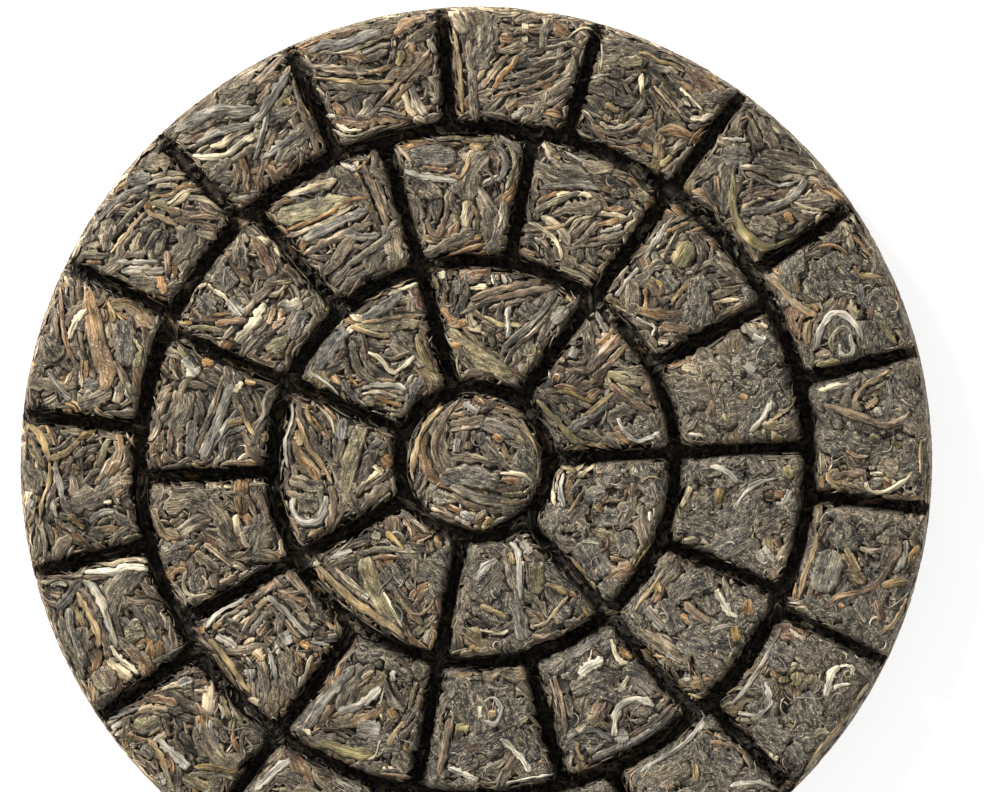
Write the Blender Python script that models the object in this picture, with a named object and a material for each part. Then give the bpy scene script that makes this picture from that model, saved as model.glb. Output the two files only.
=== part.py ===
"""Pressed tea cake: a round slab of pressed leaf, scored by deep grooves into portions that snap off.

Metres, +Z up.  The cake lies on its flat underside at Z = 0, with its middle on the Z axis and the
scored face up.  Angles run anticlockwise from +X, seen from above.
"""
import math
import random

import bpy
import bmesh
from mathutils import Vector

# Driving dimensions of the slab
CAKE_RADIUS = 0.0992        # widest point of the pressed side wall
FACE_RADIUS = 0.0970        # outer edge of the flat scored face
FACE_HEIGHT = 0.0175        # flat face of a portion, before the leaves that stand on it
GROOVE_FLOOR = 0.0083       # the slab under the grooves holds all the portions together
FOOT_ROUNDING = 0.0016      # small rounding under the side wall
GROOVE_END_ROUNDING = 0.0012    # where a groove's floor runs out through the side wall
WALL_LEAN = 0.0009          # how far the side wall leans in at the top

# Grooves pressed by the mould: half widths, measured square to the groove
FLOOR_HALF_GAP = 0.0013
WALL_HALF_GAP = 0.0020      # at the foot of the rounded lip
LIP_ROUNDING = 0.0011
CORNER_ROUNDING = 0.0022    # corners of a portion, seen from above
ROOT_DEPTH = 0.0009         # how far a portion is sunk into the slab below it
FACE_WAVE = 0.00025         # portions are not pressed quite equally high

# Rings of portions: inner and outer ring groove, number of portions, angle of one straight groove
BUTTON_GROOVE = 0.0162
MIDDLE_GROOVE = 0.0437
OUTER_GROOVE = 0.0728
RINGS = (
    (BUTTON_GROOVE, MIDDLE_GROOVE, 7, math.radians(2.7)),
    (MIDDLE_GROOVE, OUTER_GROOVE, 14, math.radians(2.7)),
    (OUTER_GROOVE, None, 18, math.radians(-5.9)),
)

# Facets
SLAB_SIDES = 90
BUTTON_SIDES = 22
ARC_STEP = 0.0068           # length of one straight piece of a curved edge

# Leaves that stand proud of the pressed face, from the largest down
LEAF_SEED = 7
LEAVES_ON_FACE = 170
LEAVES_ON_SIDE = 32
LONGEST_LEAF = 0.0170
SHORTEST_LEAF = 0.0075
WIDEST_LEAF = 0.0046
NARROWEST_LEAF = 0.0020
LEAF_RISE = 0.00065         # a large leaf's back above the face it is pressed into
LEAF_STATIONS = (0.0, 0.45, 1.0)
LEAF_TAPER = (0.4, 1.0, 0.3)
EDGE_MARGIN = 0.0012        # leaves on the face keep this far from the lip
TRIES_PER_LEAF = 60
SIDE_STRIDE = 7             # portions from one side leaf to the next, so that they go round evenly
SIDE_LEAF_BAND = (0.22, 0.78)   # heights of the side leaves, as shares of the face's height
SIDE_SINK = 0.0002          # side leaves are sunk a little more, as the wall is round

LEAF_COLOUR = (0.16, 0.125, 0.085, 1.0)
LEAF_ROUGHNESS = 0.8


def polar(radius, angle, z=0.0):
    return Vector((radius * math.cos(angle), radius * math.sin(angle), z))


def groove_angle(ring, index):
    """Angle of the straight groove before portion `index` of a ring."""
    _, _, count, first = ring
    return first + index * math.tau / count


def face_lift(ring_number, index):
    """How much higher or lower than the mean this portion's face was pressed."""
    return FACE_WAVE * math.sin(2.4 * index + 1.7 * ring_number)


def wall_radius(height):
    """Radius of the side wall, which leans in a little towards the face."""
    return CAKE_RADIUS - WALL_LEAN * (height / FACE_HEIGHT) ** 2


# ---- Portions -------------------------------------------------------------------------------------

def levels_of(lift):
    """Levels of a portion's wall, root to face: height, half gap of the grooves, outer radius."""
    face = FACE_HEIGHT + lift
    root = GROOVE_FLOOR - ROOT_DEPTH
    return (
        (root, FLOOR_HALF_GAP, wall_radius(root)),
        (face - LIP_ROUNDING, WALL_HALF_GAP, wall_radius(face - LIP_ROUNDING)),
        (face, WALL_HALF_GAP + LIP_ROUNDING, FACE_RADIUS),
    )


def arc_pieces(radius, count):
    """How many straight pieces make one portion's share of a circle."""
    return max(3, round(radius * math.tau / count / ARC_STEP))


def arc_points(radius, start, end, pieces):
    return [polar(radius, start + (end - start) * k / pieces) for k in range(pieces + 1)]


def round_corners(sides, rounding):
    """Joins runs of points end to end, with each shared corner cut back to a rounded one."""
    outline = []
    for here, following in zip(sides, sides[1:] + sides[:1]):
        corner = here[-1]
        arriving = (corner - here[-2]).normalized()
        leaving = (following[1] - corner).normalized()
        before = corner - arriving * rounding
        after = corner + leaving * rounding
        outline += here[1:-1] + [before, (before + after + 2 * corner) / 4, after]
    return outline


def portion_outline(ring, index, half_gap, outer_radius):
    """Outline of one portion between two ring grooves and two straight grooves of even width."""
    inner, outer, count, _ = ring
    low = inner + half_gap
    high = outer_radius if outer is None else outer - half_gap
    start = groove_angle(ring, index)
    end = groove_angle(ring, index + 1)
    low_gap = math.asin(half_gap / low)
    high_gap = math.asin(half_gap / high)
    high_arc = arc_points(high, start + high_gap, end - high_gap, arc_pieces(outer or CAKE_RADIUS, count))
    low_arc = arc_points(low, end - low_gap, start + low_gap, arc_pieces(inner, count))
    leading = [low_arc[-1], high_arc[0]]
    trailing = [high_arc[-1], low_arc[0]]
    return round_corners([high_arc, trailing, low_arc, leading], CORNER_ROUNDING)


def button_outline(half_gap):
    return [polar(BUTTON_GROOVE - half_gap, k * math.tau / BUTTON_SIDES) for k in range(BUTTON_SIDES)]


def closed_stack(name, outlines):
    """A closed solid through outlines stacked from bottom to top, each with as many points."""
    bm = bmesh.new()
    loops = [[bm.verts.new(point) for point in outline] for outline in outlines]
    for below, above in zip(loops, loops[1:]):
        for k in range(len(below)):
            after = (k + 1) % len(below)
            bm.faces.new((below[k], below[after], above[after], above[k]))
    bm.faces.new(list(reversed(loops[0])))
    bm.faces.new(loops[-1])
    mesh = bpy.data.meshes.new(name)
    bm.to_mesh(mesh)
    bm.free()
    return bpy.data.objects.new(name, mesh)


def portion(name, outline_at, lift):
    outlines = []
    for height, half_gap, outer_radius in levels_of(lift):
        outlines.append([point + Vector((0, 0, height)) for point in outline_at(half_gap, outer_radius)])
    return closed_stack(name, outlines)


def all_portions():
    """The button in the middle, then the portions of each ring."""
    portions = [portion("button", lambda gap, _: button_outline(gap), face_lift(0, 0))]
    for number, ring in enumerate(RINGS, start=1):
        for index in range(ring[2]):
            portions.append(
                portion(
                    f"portion_{number}_{index}",
                    lambda gap, outer: portion_outline(ring, index, gap, outer),
                    face_lift(number, index),
                )
            )
    return portions


# ---- Slab under the grooves -----------------------------------------------------------------------

def slab():
    """The turned slab that carries the portions, with a flat underside and a soft outer edge."""
    lip = GROOVE_FLOOR - GROOVE_END_ROUNDING
    profile = (
        (CAKE_RADIUS - FOOT_ROUNDING, 0.0),
        (CAKE_RADIUS - 0.3 * FOOT_ROUNDING, 0.7 * FOOT_ROUNDING),
        (CAKE_RADIUS, 0.45 * GROOVE_FLOOR),
        (wall_radius(lip), lip),
        (CAKE_RADIUS - GROOVE_END_ROUNDING, GROOVE_FLOOR),
    )
    outlines = []
    for radius, height in profile:
        outlines.append([polar(radius, k * math.tau / SLAB_SIDES, height) for k in range(SLAB_SIDES)])
    return closed_stack("tea_cake", outlines)


# ---- Leaves ---------------------------------------------------------------------------------------

def leaf(name, middle, along, up, length, width, bend):
    """A flat tapered leaf, sunk to its edges, whose ridged back stands out of the surface."""
    side = up.cross(along).normalized()
    rise = LEAF_RISE * width / WIDEST_LEAF + 0.3 * LEAF_RISE
    outlines = []
    for station, taper in zip(LEAF_STATIONS, LEAF_TAPER):
        spread = 0.5 * width * taper
        sway = bend * math.sin(math.pi * station)
        centre = middle + along * (length * (station - 0.5)) + side * sway
        outlines.append(
            [
                centre + side * spread - up * 0.3 * rise,
                centre + up * rise * (0.3 + 0.7 * taper),
                centre - side * spread - up * 0.3 * rise,
                centre - up * rise * 1.5,
            ]
        )
    return closed_stack(name, outlines)


def leaf_sizes(draw, count):
    """Lengths and widths from the largest leaf down to the smallest."""
    sizes = []
    for k in range(count):
        share = 1 - k / count
        length = SHORTEST_LEAF + (LONGEST_LEAF - SHORTEST_LEAF) * share ** 1.5
        width = NARROWEST_LEAF + (WIDEST_LEAF - NARROWEST_LEAF) * share * draw.uniform(0.5, 1.0)
        sizes.append((length, width))
    return sizes


def face_at(x, y, margin):
    """Height of the portion's face at a place, or None within `margin` of a groove or of the edge."""
    radius = math.hypot(x, y)
    gap = WALL_HALF_GAP + LIP_ROUNDING + margin
    if radius < BUTTON_GROOVE - gap:
        return FACE_HEIGHT + face_lift(0, 0)
    for number, ring in enumerate(RINGS, start=1):
        inner, outer, count, first = ring
        limit = FACE_RADIUS - margin if outer is None else outer - gap
        if not inner + gap < radius < limit:
            continue
        step = math.tau / count
        turn = (math.atan2(y, x) - first) % math.tau
        from_groove = min(turn % step, step - turn % step)
        if radius * math.sin(from_groove) > gap:
            return FACE_HEIGHT + face_lift(number, int(turn // step))
    return None


def spaciest(draw, taken, place):
    """Of several random places, the one farthest from those already taken."""
    best, best_gap = None, -1.0
    for _ in range(TRIES_PER_LEAF):
        found = place(draw)
        if found is None:
            continue
        gap = min(((found[0] - other).length for other in taken), default=1.0)
        if gap > best_gap:
            best, best_gap = found, gap
    return best


def leaves_on_face(draw):
    taken, leaves = [], []
    for k, (length, width) in enumerate(leaf_sizes(draw, LEAVES_ON_FACE)):
        reach = 0.5 * length
        bend = draw.uniform(-0.18, 0.18) * length

        def place(draw):
            radius = FACE_RADIUS * math.sqrt(draw.random())
            middle = polar(radius, draw.uniform(0, math.tau))
            along = polar(1.0, draw.uniform(0, math.tau))
            height = face_at(middle.x, middle.y, EDGE_MARGIN)
            ends = [middle + along * reach * way for way in (-1, 1)]
            on_same_face = all(face_at(end.x, end.y, EDGE_MARGIN) == height for end in ends)
            if height is None or not on_same_face:
                return None
            return middle + Vector((0, 0, height)), along

        found = spaciest(draw, taken, place)
        if found is None:
            continue
        taken.append(found[0])
        leaves.append(leaf(f"face_leaf_{k}", found[0], found[1], Vector((0, 0, 1)), length, width, bend))
    return leaves


def leaves_on_side(draw):
    """Leaves laid round the side wall of the outer portions and of the slab under them.

    The four largest lie low at the quarter turns, so the cake is equally wide both ways.
    """
    outer_ring = RINGS[-1]
    step = math.tau / outer_ring[2]
    leaves = []
    for k, (length, width) in enumerate(leaf_sizes(draw, LEAVES_ON_SIDE)):
        angle = groove_angle(outer_ring, SIDE_STRIDE * k) + step * draw.uniform(0.28, 0.72)
        height = FACE_HEIGHT * draw.uniform(*SIDE_LEAF_BAND)
        tilt = math.radians(draw.uniform(-28, 28))
        if k < 4:
            angle, height, tilt = k * math.tau / 4, SIDE_LEAF_BAND[0] * FACE_HEIGHT, 0.0
        up = polar(1.0, angle)
        along = polar(math.cos(tilt), angle + math.pi / 2) + Vector((0, 0, math.sin(tilt)))
        middle = polar(wall_radius(height) - SIDE_SINK, angle, height)
        leaves.append(leaf(f"side_leaf_{k}", middle, along, up, 0.6 * length, width, 0.0))
    return leaves


# ---- The cake -------------------------------------------------------------------------------------

def pressed_leaf():
    """Dark fermented leaf, pressed and dried: brown-grey and dull."""
    material = bpy.data.materials.new("pressed_leaf")
    material.use_nodes = True
    shader = material.node_tree.nodes["Principled BSDF"]
    shader.inputs["Base Color"].default_value = LEAF_COLOUR
    shader.inputs["Roughness"].default_value = LEAF_ROUGHNESS
    shader.inputs["Metallic"].default_value = 0.0
    return material


def fuse(body, pieces):
    """Joins the pieces to the body with one union, and removes them."""
    group = bpy.data.collections.new("pieces")
    bpy.context.scene.collection.children.link(group)
    for piece in pieces:
        group.objects.link(piece)
    union = body.modifiers.new("fuse", "BOOLEAN")
    union.operation = "UNION"
    union.operand_type = "COLLECTION"
    union.collection = group
    union.solver = "EXACT"
    bpy.context.view_layer.objects.active = body
    bpy.ops.object.modifier_apply(modifier=union.name)
    for piece in pieces:
        mesh = piece.data
        bpy.data.objects.remove(piece)
        bpy.data.meshes.remove(mesh)
    bpy.data.collections.remove(group)


for old in list(bpy.data.objects):
    bpy.data.objects.remove(old, do_unlink=True)

draw = random.Random(LEAF_SEED)
cake = slab()
bpy.context.scene.collection.objects.link(cake)
fuse(cake, all_portions() + leaves_on_face(draw) + leaves_on_side(draw))
cake.data.materials.clear()
cake.data.materials.append(pressed_leaf())
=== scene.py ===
"""Looks of a pressed tea cake: dark leaf pressed in a mould whose ridges leave grooves between portions."""

import math

import bpy
import numpy as np
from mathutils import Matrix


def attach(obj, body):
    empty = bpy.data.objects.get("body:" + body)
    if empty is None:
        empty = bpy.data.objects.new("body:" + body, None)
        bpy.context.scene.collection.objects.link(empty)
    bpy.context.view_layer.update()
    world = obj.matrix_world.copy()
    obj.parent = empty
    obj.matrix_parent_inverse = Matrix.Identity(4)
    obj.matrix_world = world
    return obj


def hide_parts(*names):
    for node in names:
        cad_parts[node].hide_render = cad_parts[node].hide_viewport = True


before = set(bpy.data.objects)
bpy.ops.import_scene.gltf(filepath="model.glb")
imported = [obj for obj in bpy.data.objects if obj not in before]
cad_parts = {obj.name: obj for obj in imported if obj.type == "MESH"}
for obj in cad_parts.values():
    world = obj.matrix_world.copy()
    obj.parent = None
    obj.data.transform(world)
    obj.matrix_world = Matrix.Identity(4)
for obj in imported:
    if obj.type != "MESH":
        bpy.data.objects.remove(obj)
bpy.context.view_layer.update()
MM = 0.001

# ---- The mould ----
# The leaf takes its outer form from a mould: a flat face with a rounded shoulder, a side wall that
# leans in a little, and ridges that press ring grooves and straight grooves.  Below, lengths are in
# millimetres, and a place on the skin is given on a flat sheet: inside the face it is the place seen
# from above, and beyond its edge the distance is measured over the shoulder and down the wall.

FACE_RADIUS = 95.0
FACE_HEIGHT = 17.6
WALL_RADIUS = 99.55
WALL_LEAN = 0.9
SHOULDER_RUN = 3.6
SHOULDER_DROP = 2.3
FOOT = 1.6
GROOVE_FLOOR = 8.3
FLOOR_HALF_GAP = 0.45
WALL_RUN = 0.85             # how far a groove's wall leans from floor to lip
LIP = 5.4                   # a portion's edge is rounded gently, over this width
LIP_DROP = 0.27             # share of the groove's depth that the rounding takes
OUTER_SPREAD = 1.2          # walls that face the middle lean more
CORNER = 2.6
FACE_WAVE = 0.25            # portions are not pressed quite equally high
RING_GROOVES = (16.2, 43.7, 72.8)
PORTIONS = (1, 7, 14, 18)   # in the button and in each ring
FIRST_GROOVE = (0.0, 2.7, 2.7, -5.9)


def wall_profile():
    """The turned outline from the face's edge to the underside: distance walked, radius, height."""
    turn = np.radians(np.arange(0, 91, 6))
    over = np.stack(
        [FACE_RADIUS + SHOULDER_RUN * np.sin(turn), FACE_HEIGHT - SHOULDER_DROP * (1 - np.cos(turn))], 1
    )
    height = np.linspace(FACE_HEIGHT - SHOULDER_DROP - 0.5, FOOT + 0.6, 40)
    wall = np.stack([WALL_RADIUS - WALL_LEAN * (height / FACE_HEIGHT) ** 2, height], 1)
    under = np.stack([WALL_RADIUS - FOOT * (1 - np.cos(turn)), FOOT * (1 - np.sin(turn))], 1)
    inward = np.array([[WALL_RADIUS - FOOT - 8.0, 0.0]])
    line = np.concatenate([over, wall, under, inward])
    walked = np.concatenate([[0], np.cumsum(np.linalg.norm(np.diff(line, axis=0), axis=1))])
    return FACE_RADIUS + walked, line[:, 0], line[:, 1]


PROFILE_TOP = wall_profile()
PROFILE_UNDER = (
    (WALL_RADIUS - FOOT) + (PROFILE_TOP[0][-2] - PROFILE_TOP[0][::-1][1:]),
    PROFILE_TOP[1][::-1][1:],
    PROFILE_TOP[2][::-1][1:],
)


def groove_distance(radius, angle):
    """Distance from the edge of the nearest groove's floor, with the portions' corners rounded, and
    how high this portion was pressed."""
    ring = np.searchsorted(RING_GROOVES, radius)
    inner = np.where(ring > 0, np.take(RING_GROOVES, np.maximum(ring - 1, 0)), -1e3)
    outer = np.where(ring < 3, np.take(RING_GROOVES, np.minimum(ring, 2)), 1e3)
    from_ring = np.minimum((radius - inner - FLOOR_HALF_GAP) / OUTER_SPREAD, outer - radius - FLOOR_HALF_GAP)
    step = 2 * np.pi / np.take(PORTIONS, ring)
    turn = (angle - np.radians(np.take(FIRST_GROOVE, ring))) % (2 * np.pi)
    nearest = np.minimum(turn % step, step - turn % step)
    from_straight = np.where(ring > 0, radius * np.sin(np.minimum(nearest, 1.5)) - FLOOR_HALF_GAP, 1e3)
    short = np.hypot(np.maximum(CORNER - from_ring, 0), np.maximum(CORNER - from_straight, 0))
    lift = FACE_WAVE * np.sin(2.4 * (turn // step) + 1.7 * ring)
    return CORNER - short, lift


def rise(distance):
    """Share of a groove's depth regained at a distance from its floor: wall, then rounded lip."""
    wall = (1 - LIP_DROP) * np.clip(distance / WALL_RUN, 0, 1)
    lip = np.clip((distance - WALL_RUN) / LIP, 0, 1)
    return wall + LIP_DROP * np.sqrt(1 - (1 - lip) ** 2)


def skin(place, under=False):
    """Where a place on the flat sheet lies on the mould, in millimetres."""
    x, y = place[..., 0], place[..., 1]
    walked = np.hypot(x, y)
    if under:
        radius = np.interp(walked, PROFILE_UNDER[0], PROFILE_UNDER[1])
        radius = np.where(walked < PROFILE_UNDER[0][0], walked, radius)
        height = np.interp(walked, PROFILE_UNDER[0], PROFILE_UNDER[2], left=0.0)
        scale = radius / np.maximum(walked, 1e-6)
        return np.stack([x * scale, y * scale, height], -1)
    radius = np.interp(walked, PROFILE_TOP[0], PROFILE_TOP[1])
    radius = np.where(walked < FACE_RADIUS, walked, radius)
    height = np.interp(walked, PROFILE_TOP[0], PROFILE_TOP[2])
    distance, lift = groove_distance(radius, np.arctan2(y, x))
    above = height - GROOVE_FLOOR
    lifted = np.where(above > 0, GROOVE_FLOOR + (above + lift * np.clip(above / 2, 0, 1)) * rise(distance), height)
    scale = radius / np.maximum(walked, 1e-6)
    return np.stack([x * scale, y * scale, lifted], -1)


# ---- Core of the cake ----
# Broken leaf and dust pressed into one dark mass, which shows only in the gaps between the leaves that lie against
# the mould; its near-black colour is partly its own and partly painted shade for those gaps. It is the solid of the
# cake, drawn in a little and roughened all over.

CORE_VOXEL = 0.55
CORE_SINK = 0.65
CORE_HEIGHTS = (1.6, 15.2)  # beyond these and this radius the core is pressed flatter,
CORE_RADIUS = 98.5          # so that it lies behind the leaves
CORE_RELIEF = 0.35
LOW_WALL_FROM = 97.9        # below the grooves what lies beyond this radius
LOW_WALL_RADIUS = 98.95     # fills the side wall up to the leaves
CORE_FACES = 190_000
CRUMB_GRAINS = ((2.2, 0.4), (0.9, 0.35))    # size of the lumps and how far they stand out
FLECK = 0.9
GROOVE_PAINTED_SHADE = 0.58          # share of the leaf's colour left at a groove's floor: painted shade
LIP_PAINTED_HIGHLIGHT = 1.22             # the portions' edges get a painted highlight, a little paler
WALL_PAINTED_LIGHT = 2.1             # painted light: the side wall is painted paler than the face
GROOVE_WALL = (14.0, 16.6)  # heights between which a groove's wall goes from painted shade to the lip's painted highlight,
LIP_TOP = (16.7, 17.4)      # and the lip's painted highlight goes over into the face
SHOULDER = (95.5, 98.8)     # radii between which the face goes over into the side wall's painted light
FOOT_OF_WALL = (6.0, 4.0)   # heights below which nothing is darkened


def srgb(code):
    """A colour given as sRGB hex, in linear light."""
    parts = [int(code[k:k + 2], 16) / 255 for k in (1, 3, 5)]
    return [p / 12.92 if p <= 0.04045 else ((p + 0.055) / 1.055) ** 2.4 for p in parts] + [1.0]


def add_node(tree, kind, links=(), **settings):
    """Adds a node with its settings; links join its inputs to other nodes, by their first output or the
    one given, or hold values."""
    node = tree.nodes.new(kind)
    for key, value in settings.items():
        setattr(node, key, value)
    for name, source in dict(links).items():
        if isinstance(source, bpy.types.Node):
            source = source.outputs[0]
        if isinstance(source, bpy.types.NodeSocket):
            tree.links.new(source, node.inputs[name])
        else:
            node.inputs[name].default_value = source
    return node


def new_material(name):
    """A material without a surface as yet, and its tree."""
    material = bpy.data.materials.new(name)
    material.use_nodes = True
    material.node_tree.nodes.remove(material.node_tree.nodes["Principled BSDF"])
    return material, material.node_tree


def painted_light_and_shade(tree):
    """Painted light and shade, as a share of the colour the leaf keeps: painted shade down in the grooves, a
    painted highlight on the portions' lips, painted light that makes the side wall paler, and none of these on the
    face."""
    place = add_node(tree, "ShaderNodeTexCoord").outputs["Object"]
    x, y, z = add_node(tree, "ShaderNodeSeparateXYZ", {"Vector": place}).outputs
    flat = add_node(tree, "ShaderNodeCombineXYZ", {"X": x, "Y": y}).outputs[0]
    radius = add_node(tree, "ShaderNodeVectorMath", {0: flat}, operation="LENGTH").outputs["Value"]
    wall, lip, outside, below = (
        add_node(tree, "ShaderNodeMapRange", {
            "Value": value, "From Min": start * MM, "From Max": end * MM, "To Min": low, "To Max": high,
        })
        for value, (start, end), low, high in (
            (z, GROOVE_WALL, GROOVE_PAINTED_SHADE, LIP_PAINTED_HIGHLIGHT), (z, LIP_TOP, LIP_PAINTED_HIGHLIGHT, 1.0),
            (radius, SHOULDER, 0.0, WALL_PAINTED_LIGHT), (z, FOOT_OF_WALL, 0.0, 1.0),
        )
    )
    on_face = add_node(tree, "ShaderNodeMath", {0: wall, 1: lip}, operation="MINIMUM")
    on_side = add_node(tree, "ShaderNodeMath", {0: outside, 1: below}, operation="MAXIMUM")
    return add_node(tree, "ShaderNodeMath", {0: on_face, 1: on_side}, operation="MAXIMUM")


def core_material():
    """Dust and broken leaf, pressed and dried: near black brown, partly its own colour and partly painted shade for
    the gaps between the leaves, dull, with brown flecks, and with the painted light and shade of the grooves, lips
    and side wall.
    """
    material, tree = new_material("leaf_dust_and_gap_shade")
    place = add_node(tree, "ShaderNodeTexCoord").outputs["Object"]
    flecks = add_node(tree, "ShaderNodeTexNoise", {"Vector": place, "Scale": 1 / (FLECK * MM), "Detail": 4.0})
    ramp = add_node(tree, "ShaderNodeValToRGB", {"Fac": flecks})
    # the near black brown is partly the dust's own colour and partly painted shade for the gaps between the leaves
    for stop, position, code in zip(ramp.color_ramp.elements, (0.4, 0.7), ("#1d1a16", "#5c5144")):
        stop.position, stop.color = position, srgb(code)
    shaded = add_node(
        tree, "ShaderNodeMix", {"Factor": 1.0, "A": ramp, "B": painted_light_and_shade(tree)}, data_type="RGBA",
        blend_type="MULTIPLY",
    )
    bump = add_node(tree, "ShaderNodeBump", {"Height": flecks, "Distance": 0.3 * MM, "Strength": 0.9})
    surface = add_node(tree, "ShaderNodeBsdfPrincipled", {
        "Base Color": shaded.outputs[2], "Normal": bump, "Roughness": 0.8, "Specular IOR Level": 0.2,
    })
    tree.links.new(surface.outputs[0], tree.nodes["Material Output"].inputs["Surface"])
    return material


def core_of_cake():
    """The solid of the cake as a fine mesh, drawn in behind the leaves and covered with lumps."""
    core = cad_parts["tea_cake"].copy()
    core.data = core.data.copy()
    core.name = core.data.name = "pressed_core"
    for key in list(core.keys()):
        del core[key]
    bpy.context.scene.collection.objects.link(core)
    bpy.ops.object.select_all(action="DESELECT")
    core.select_set(True)
    bpy.context.view_layer.objects.active = core
    bpy.ops.object.mode_set(mode="EDIT")
    bpy.ops.mesh.select_all(action="SELECT")
    bpy.ops.mesh.remove_doubles(threshold=0.00001)
    bpy.ops.object.mode_set(mode="OBJECT")
    remesh = core.modifiers.new("remesh", "REMESH")
    remesh.mode, remesh.voxel_size = "VOXEL", CORE_VOXEL * MM
    sink = core.modifiers.new("sink", "DISPLACE")
    sink.mid_level, sink.strength = 0.0, -CORE_SINK * MM
    for modifier in (remesh, sink):
        bpy.ops.object.modifier_apply(modifier=modifier.name)
    places = np.empty(3 * len(core.data.vertices))
    core.data.vertices.foreach_get("co", places)
    places = places.reshape(-1, 3)
    radius, height = np.hypot(places[:, 0], places[:, 1]) / MM, places[:, 2] / MM
    low, high = CORE_HEIGHTS
    flatter = np.where(height > high, high + CORE_RELIEF * (height - high), height)
    flatter = np.where(height < low, low - CORE_RELIEF * (low - height), flatter)
    narrower = np.where(radius > CORE_RADIUS, CORE_RADIUS + CORE_RELIEF * (radius - CORE_RADIUS), radius)
    low_wall = (radius > LOW_WALL_FROM) & (height > FOOT) & (height < GROOVE_FLOOR)
    narrower = np.where(low_wall, LOW_WALL_RADIUS, narrower)
    places[:, :2] *= (narrower / np.maximum(radius, 1e-6))[:, None]
    places[:, 2] = flatter * MM
    core.data.vertices.foreach_set("co", places.reshape(-1))
    core.data.update()
    for size, height in CRUMB_GRAINS:
        grains = bpy.data.textures.new("grains", "CLOUDS")
        grains.noise_scale, grains.noise_depth = size * MM, 1
        lumps = core.modifiers.new("lumps", "DISPLACE")
        lumps.texture, lumps.mid_level, lumps.strength = grains, 0.5, height * MM
        lumps.texture_coords = "LOCAL"
    thin = core.modifiers.new("thin", "DECIMATE")
    for modifier in list(core.modifiers)[:-1]:
        bpy.ops.object.modifier_apply(modifier=modifier.name)
    thin.ratio = min(1.0, CORE_FACES / (2 * len(core.data.polygons)))
    bpy.ops.object.modifier_apply(modifier=thin.name)
    return core


def join_cake(piece, material):
    """Gives a finished piece its material and its place in the cake."""
    piece.data.materials.clear()
    piece.data.materials.append(material)
    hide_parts("tea_cake")
    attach(piece, "root")


join_cake(core_of_cake(), core_material())

# ---- Laying leaves against the mould ----
# The leaves that touch the mould first lie flat against it, and show whole.  Those that follow lie
# behind them and are pressed forward into the gaps, so that all end nearly flush.  Each side of the
# cake is a flat sheet of cells that holds how deep the leaf laid so far reaches.

CELL = 0.25
PROBE = 0.05                # step used to measure how the skin slopes
BARE = 0.10                 # a cell is covered once something lies this deep
FLOOR_SHARE = 0.12          # the floor of a groove needs few leaves, since it is black and out of sight
STEEP_DEPTH = 0.40          # how far leaves may lie under each other on the wall of a groove
STEEP_FROM = 0.8            # the skin begins to count as such a wall where it faces up less than this,
STEEP_RUN = 0.4             # and does so fully this much further,
STEEP_WITHIN = 97.0         # within this radius
UNDERSIDE_RIM = 1.6         # the back of a leaf counts as being beyond its edge, which is at 1, so that it gets the painted shade of the edges
SEED_STEP = 91.7            # keeps the patterns of the leaves apart
MOUTH_FROM = 4.4            # no leaf lies across the end of a groove, from here beyond the face's edge
LIP_SHARE = (1.2, 1.6)      # a lip this wide is covered with more leaves by this factor
GIVE = 0.10                 # leaves press into those in front of them
STIFF = 0.16                # how far a leaf bends between two stations
TOO_DEEP = 1.8              # a leaf's deepest place against the depth allowed on average


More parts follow.
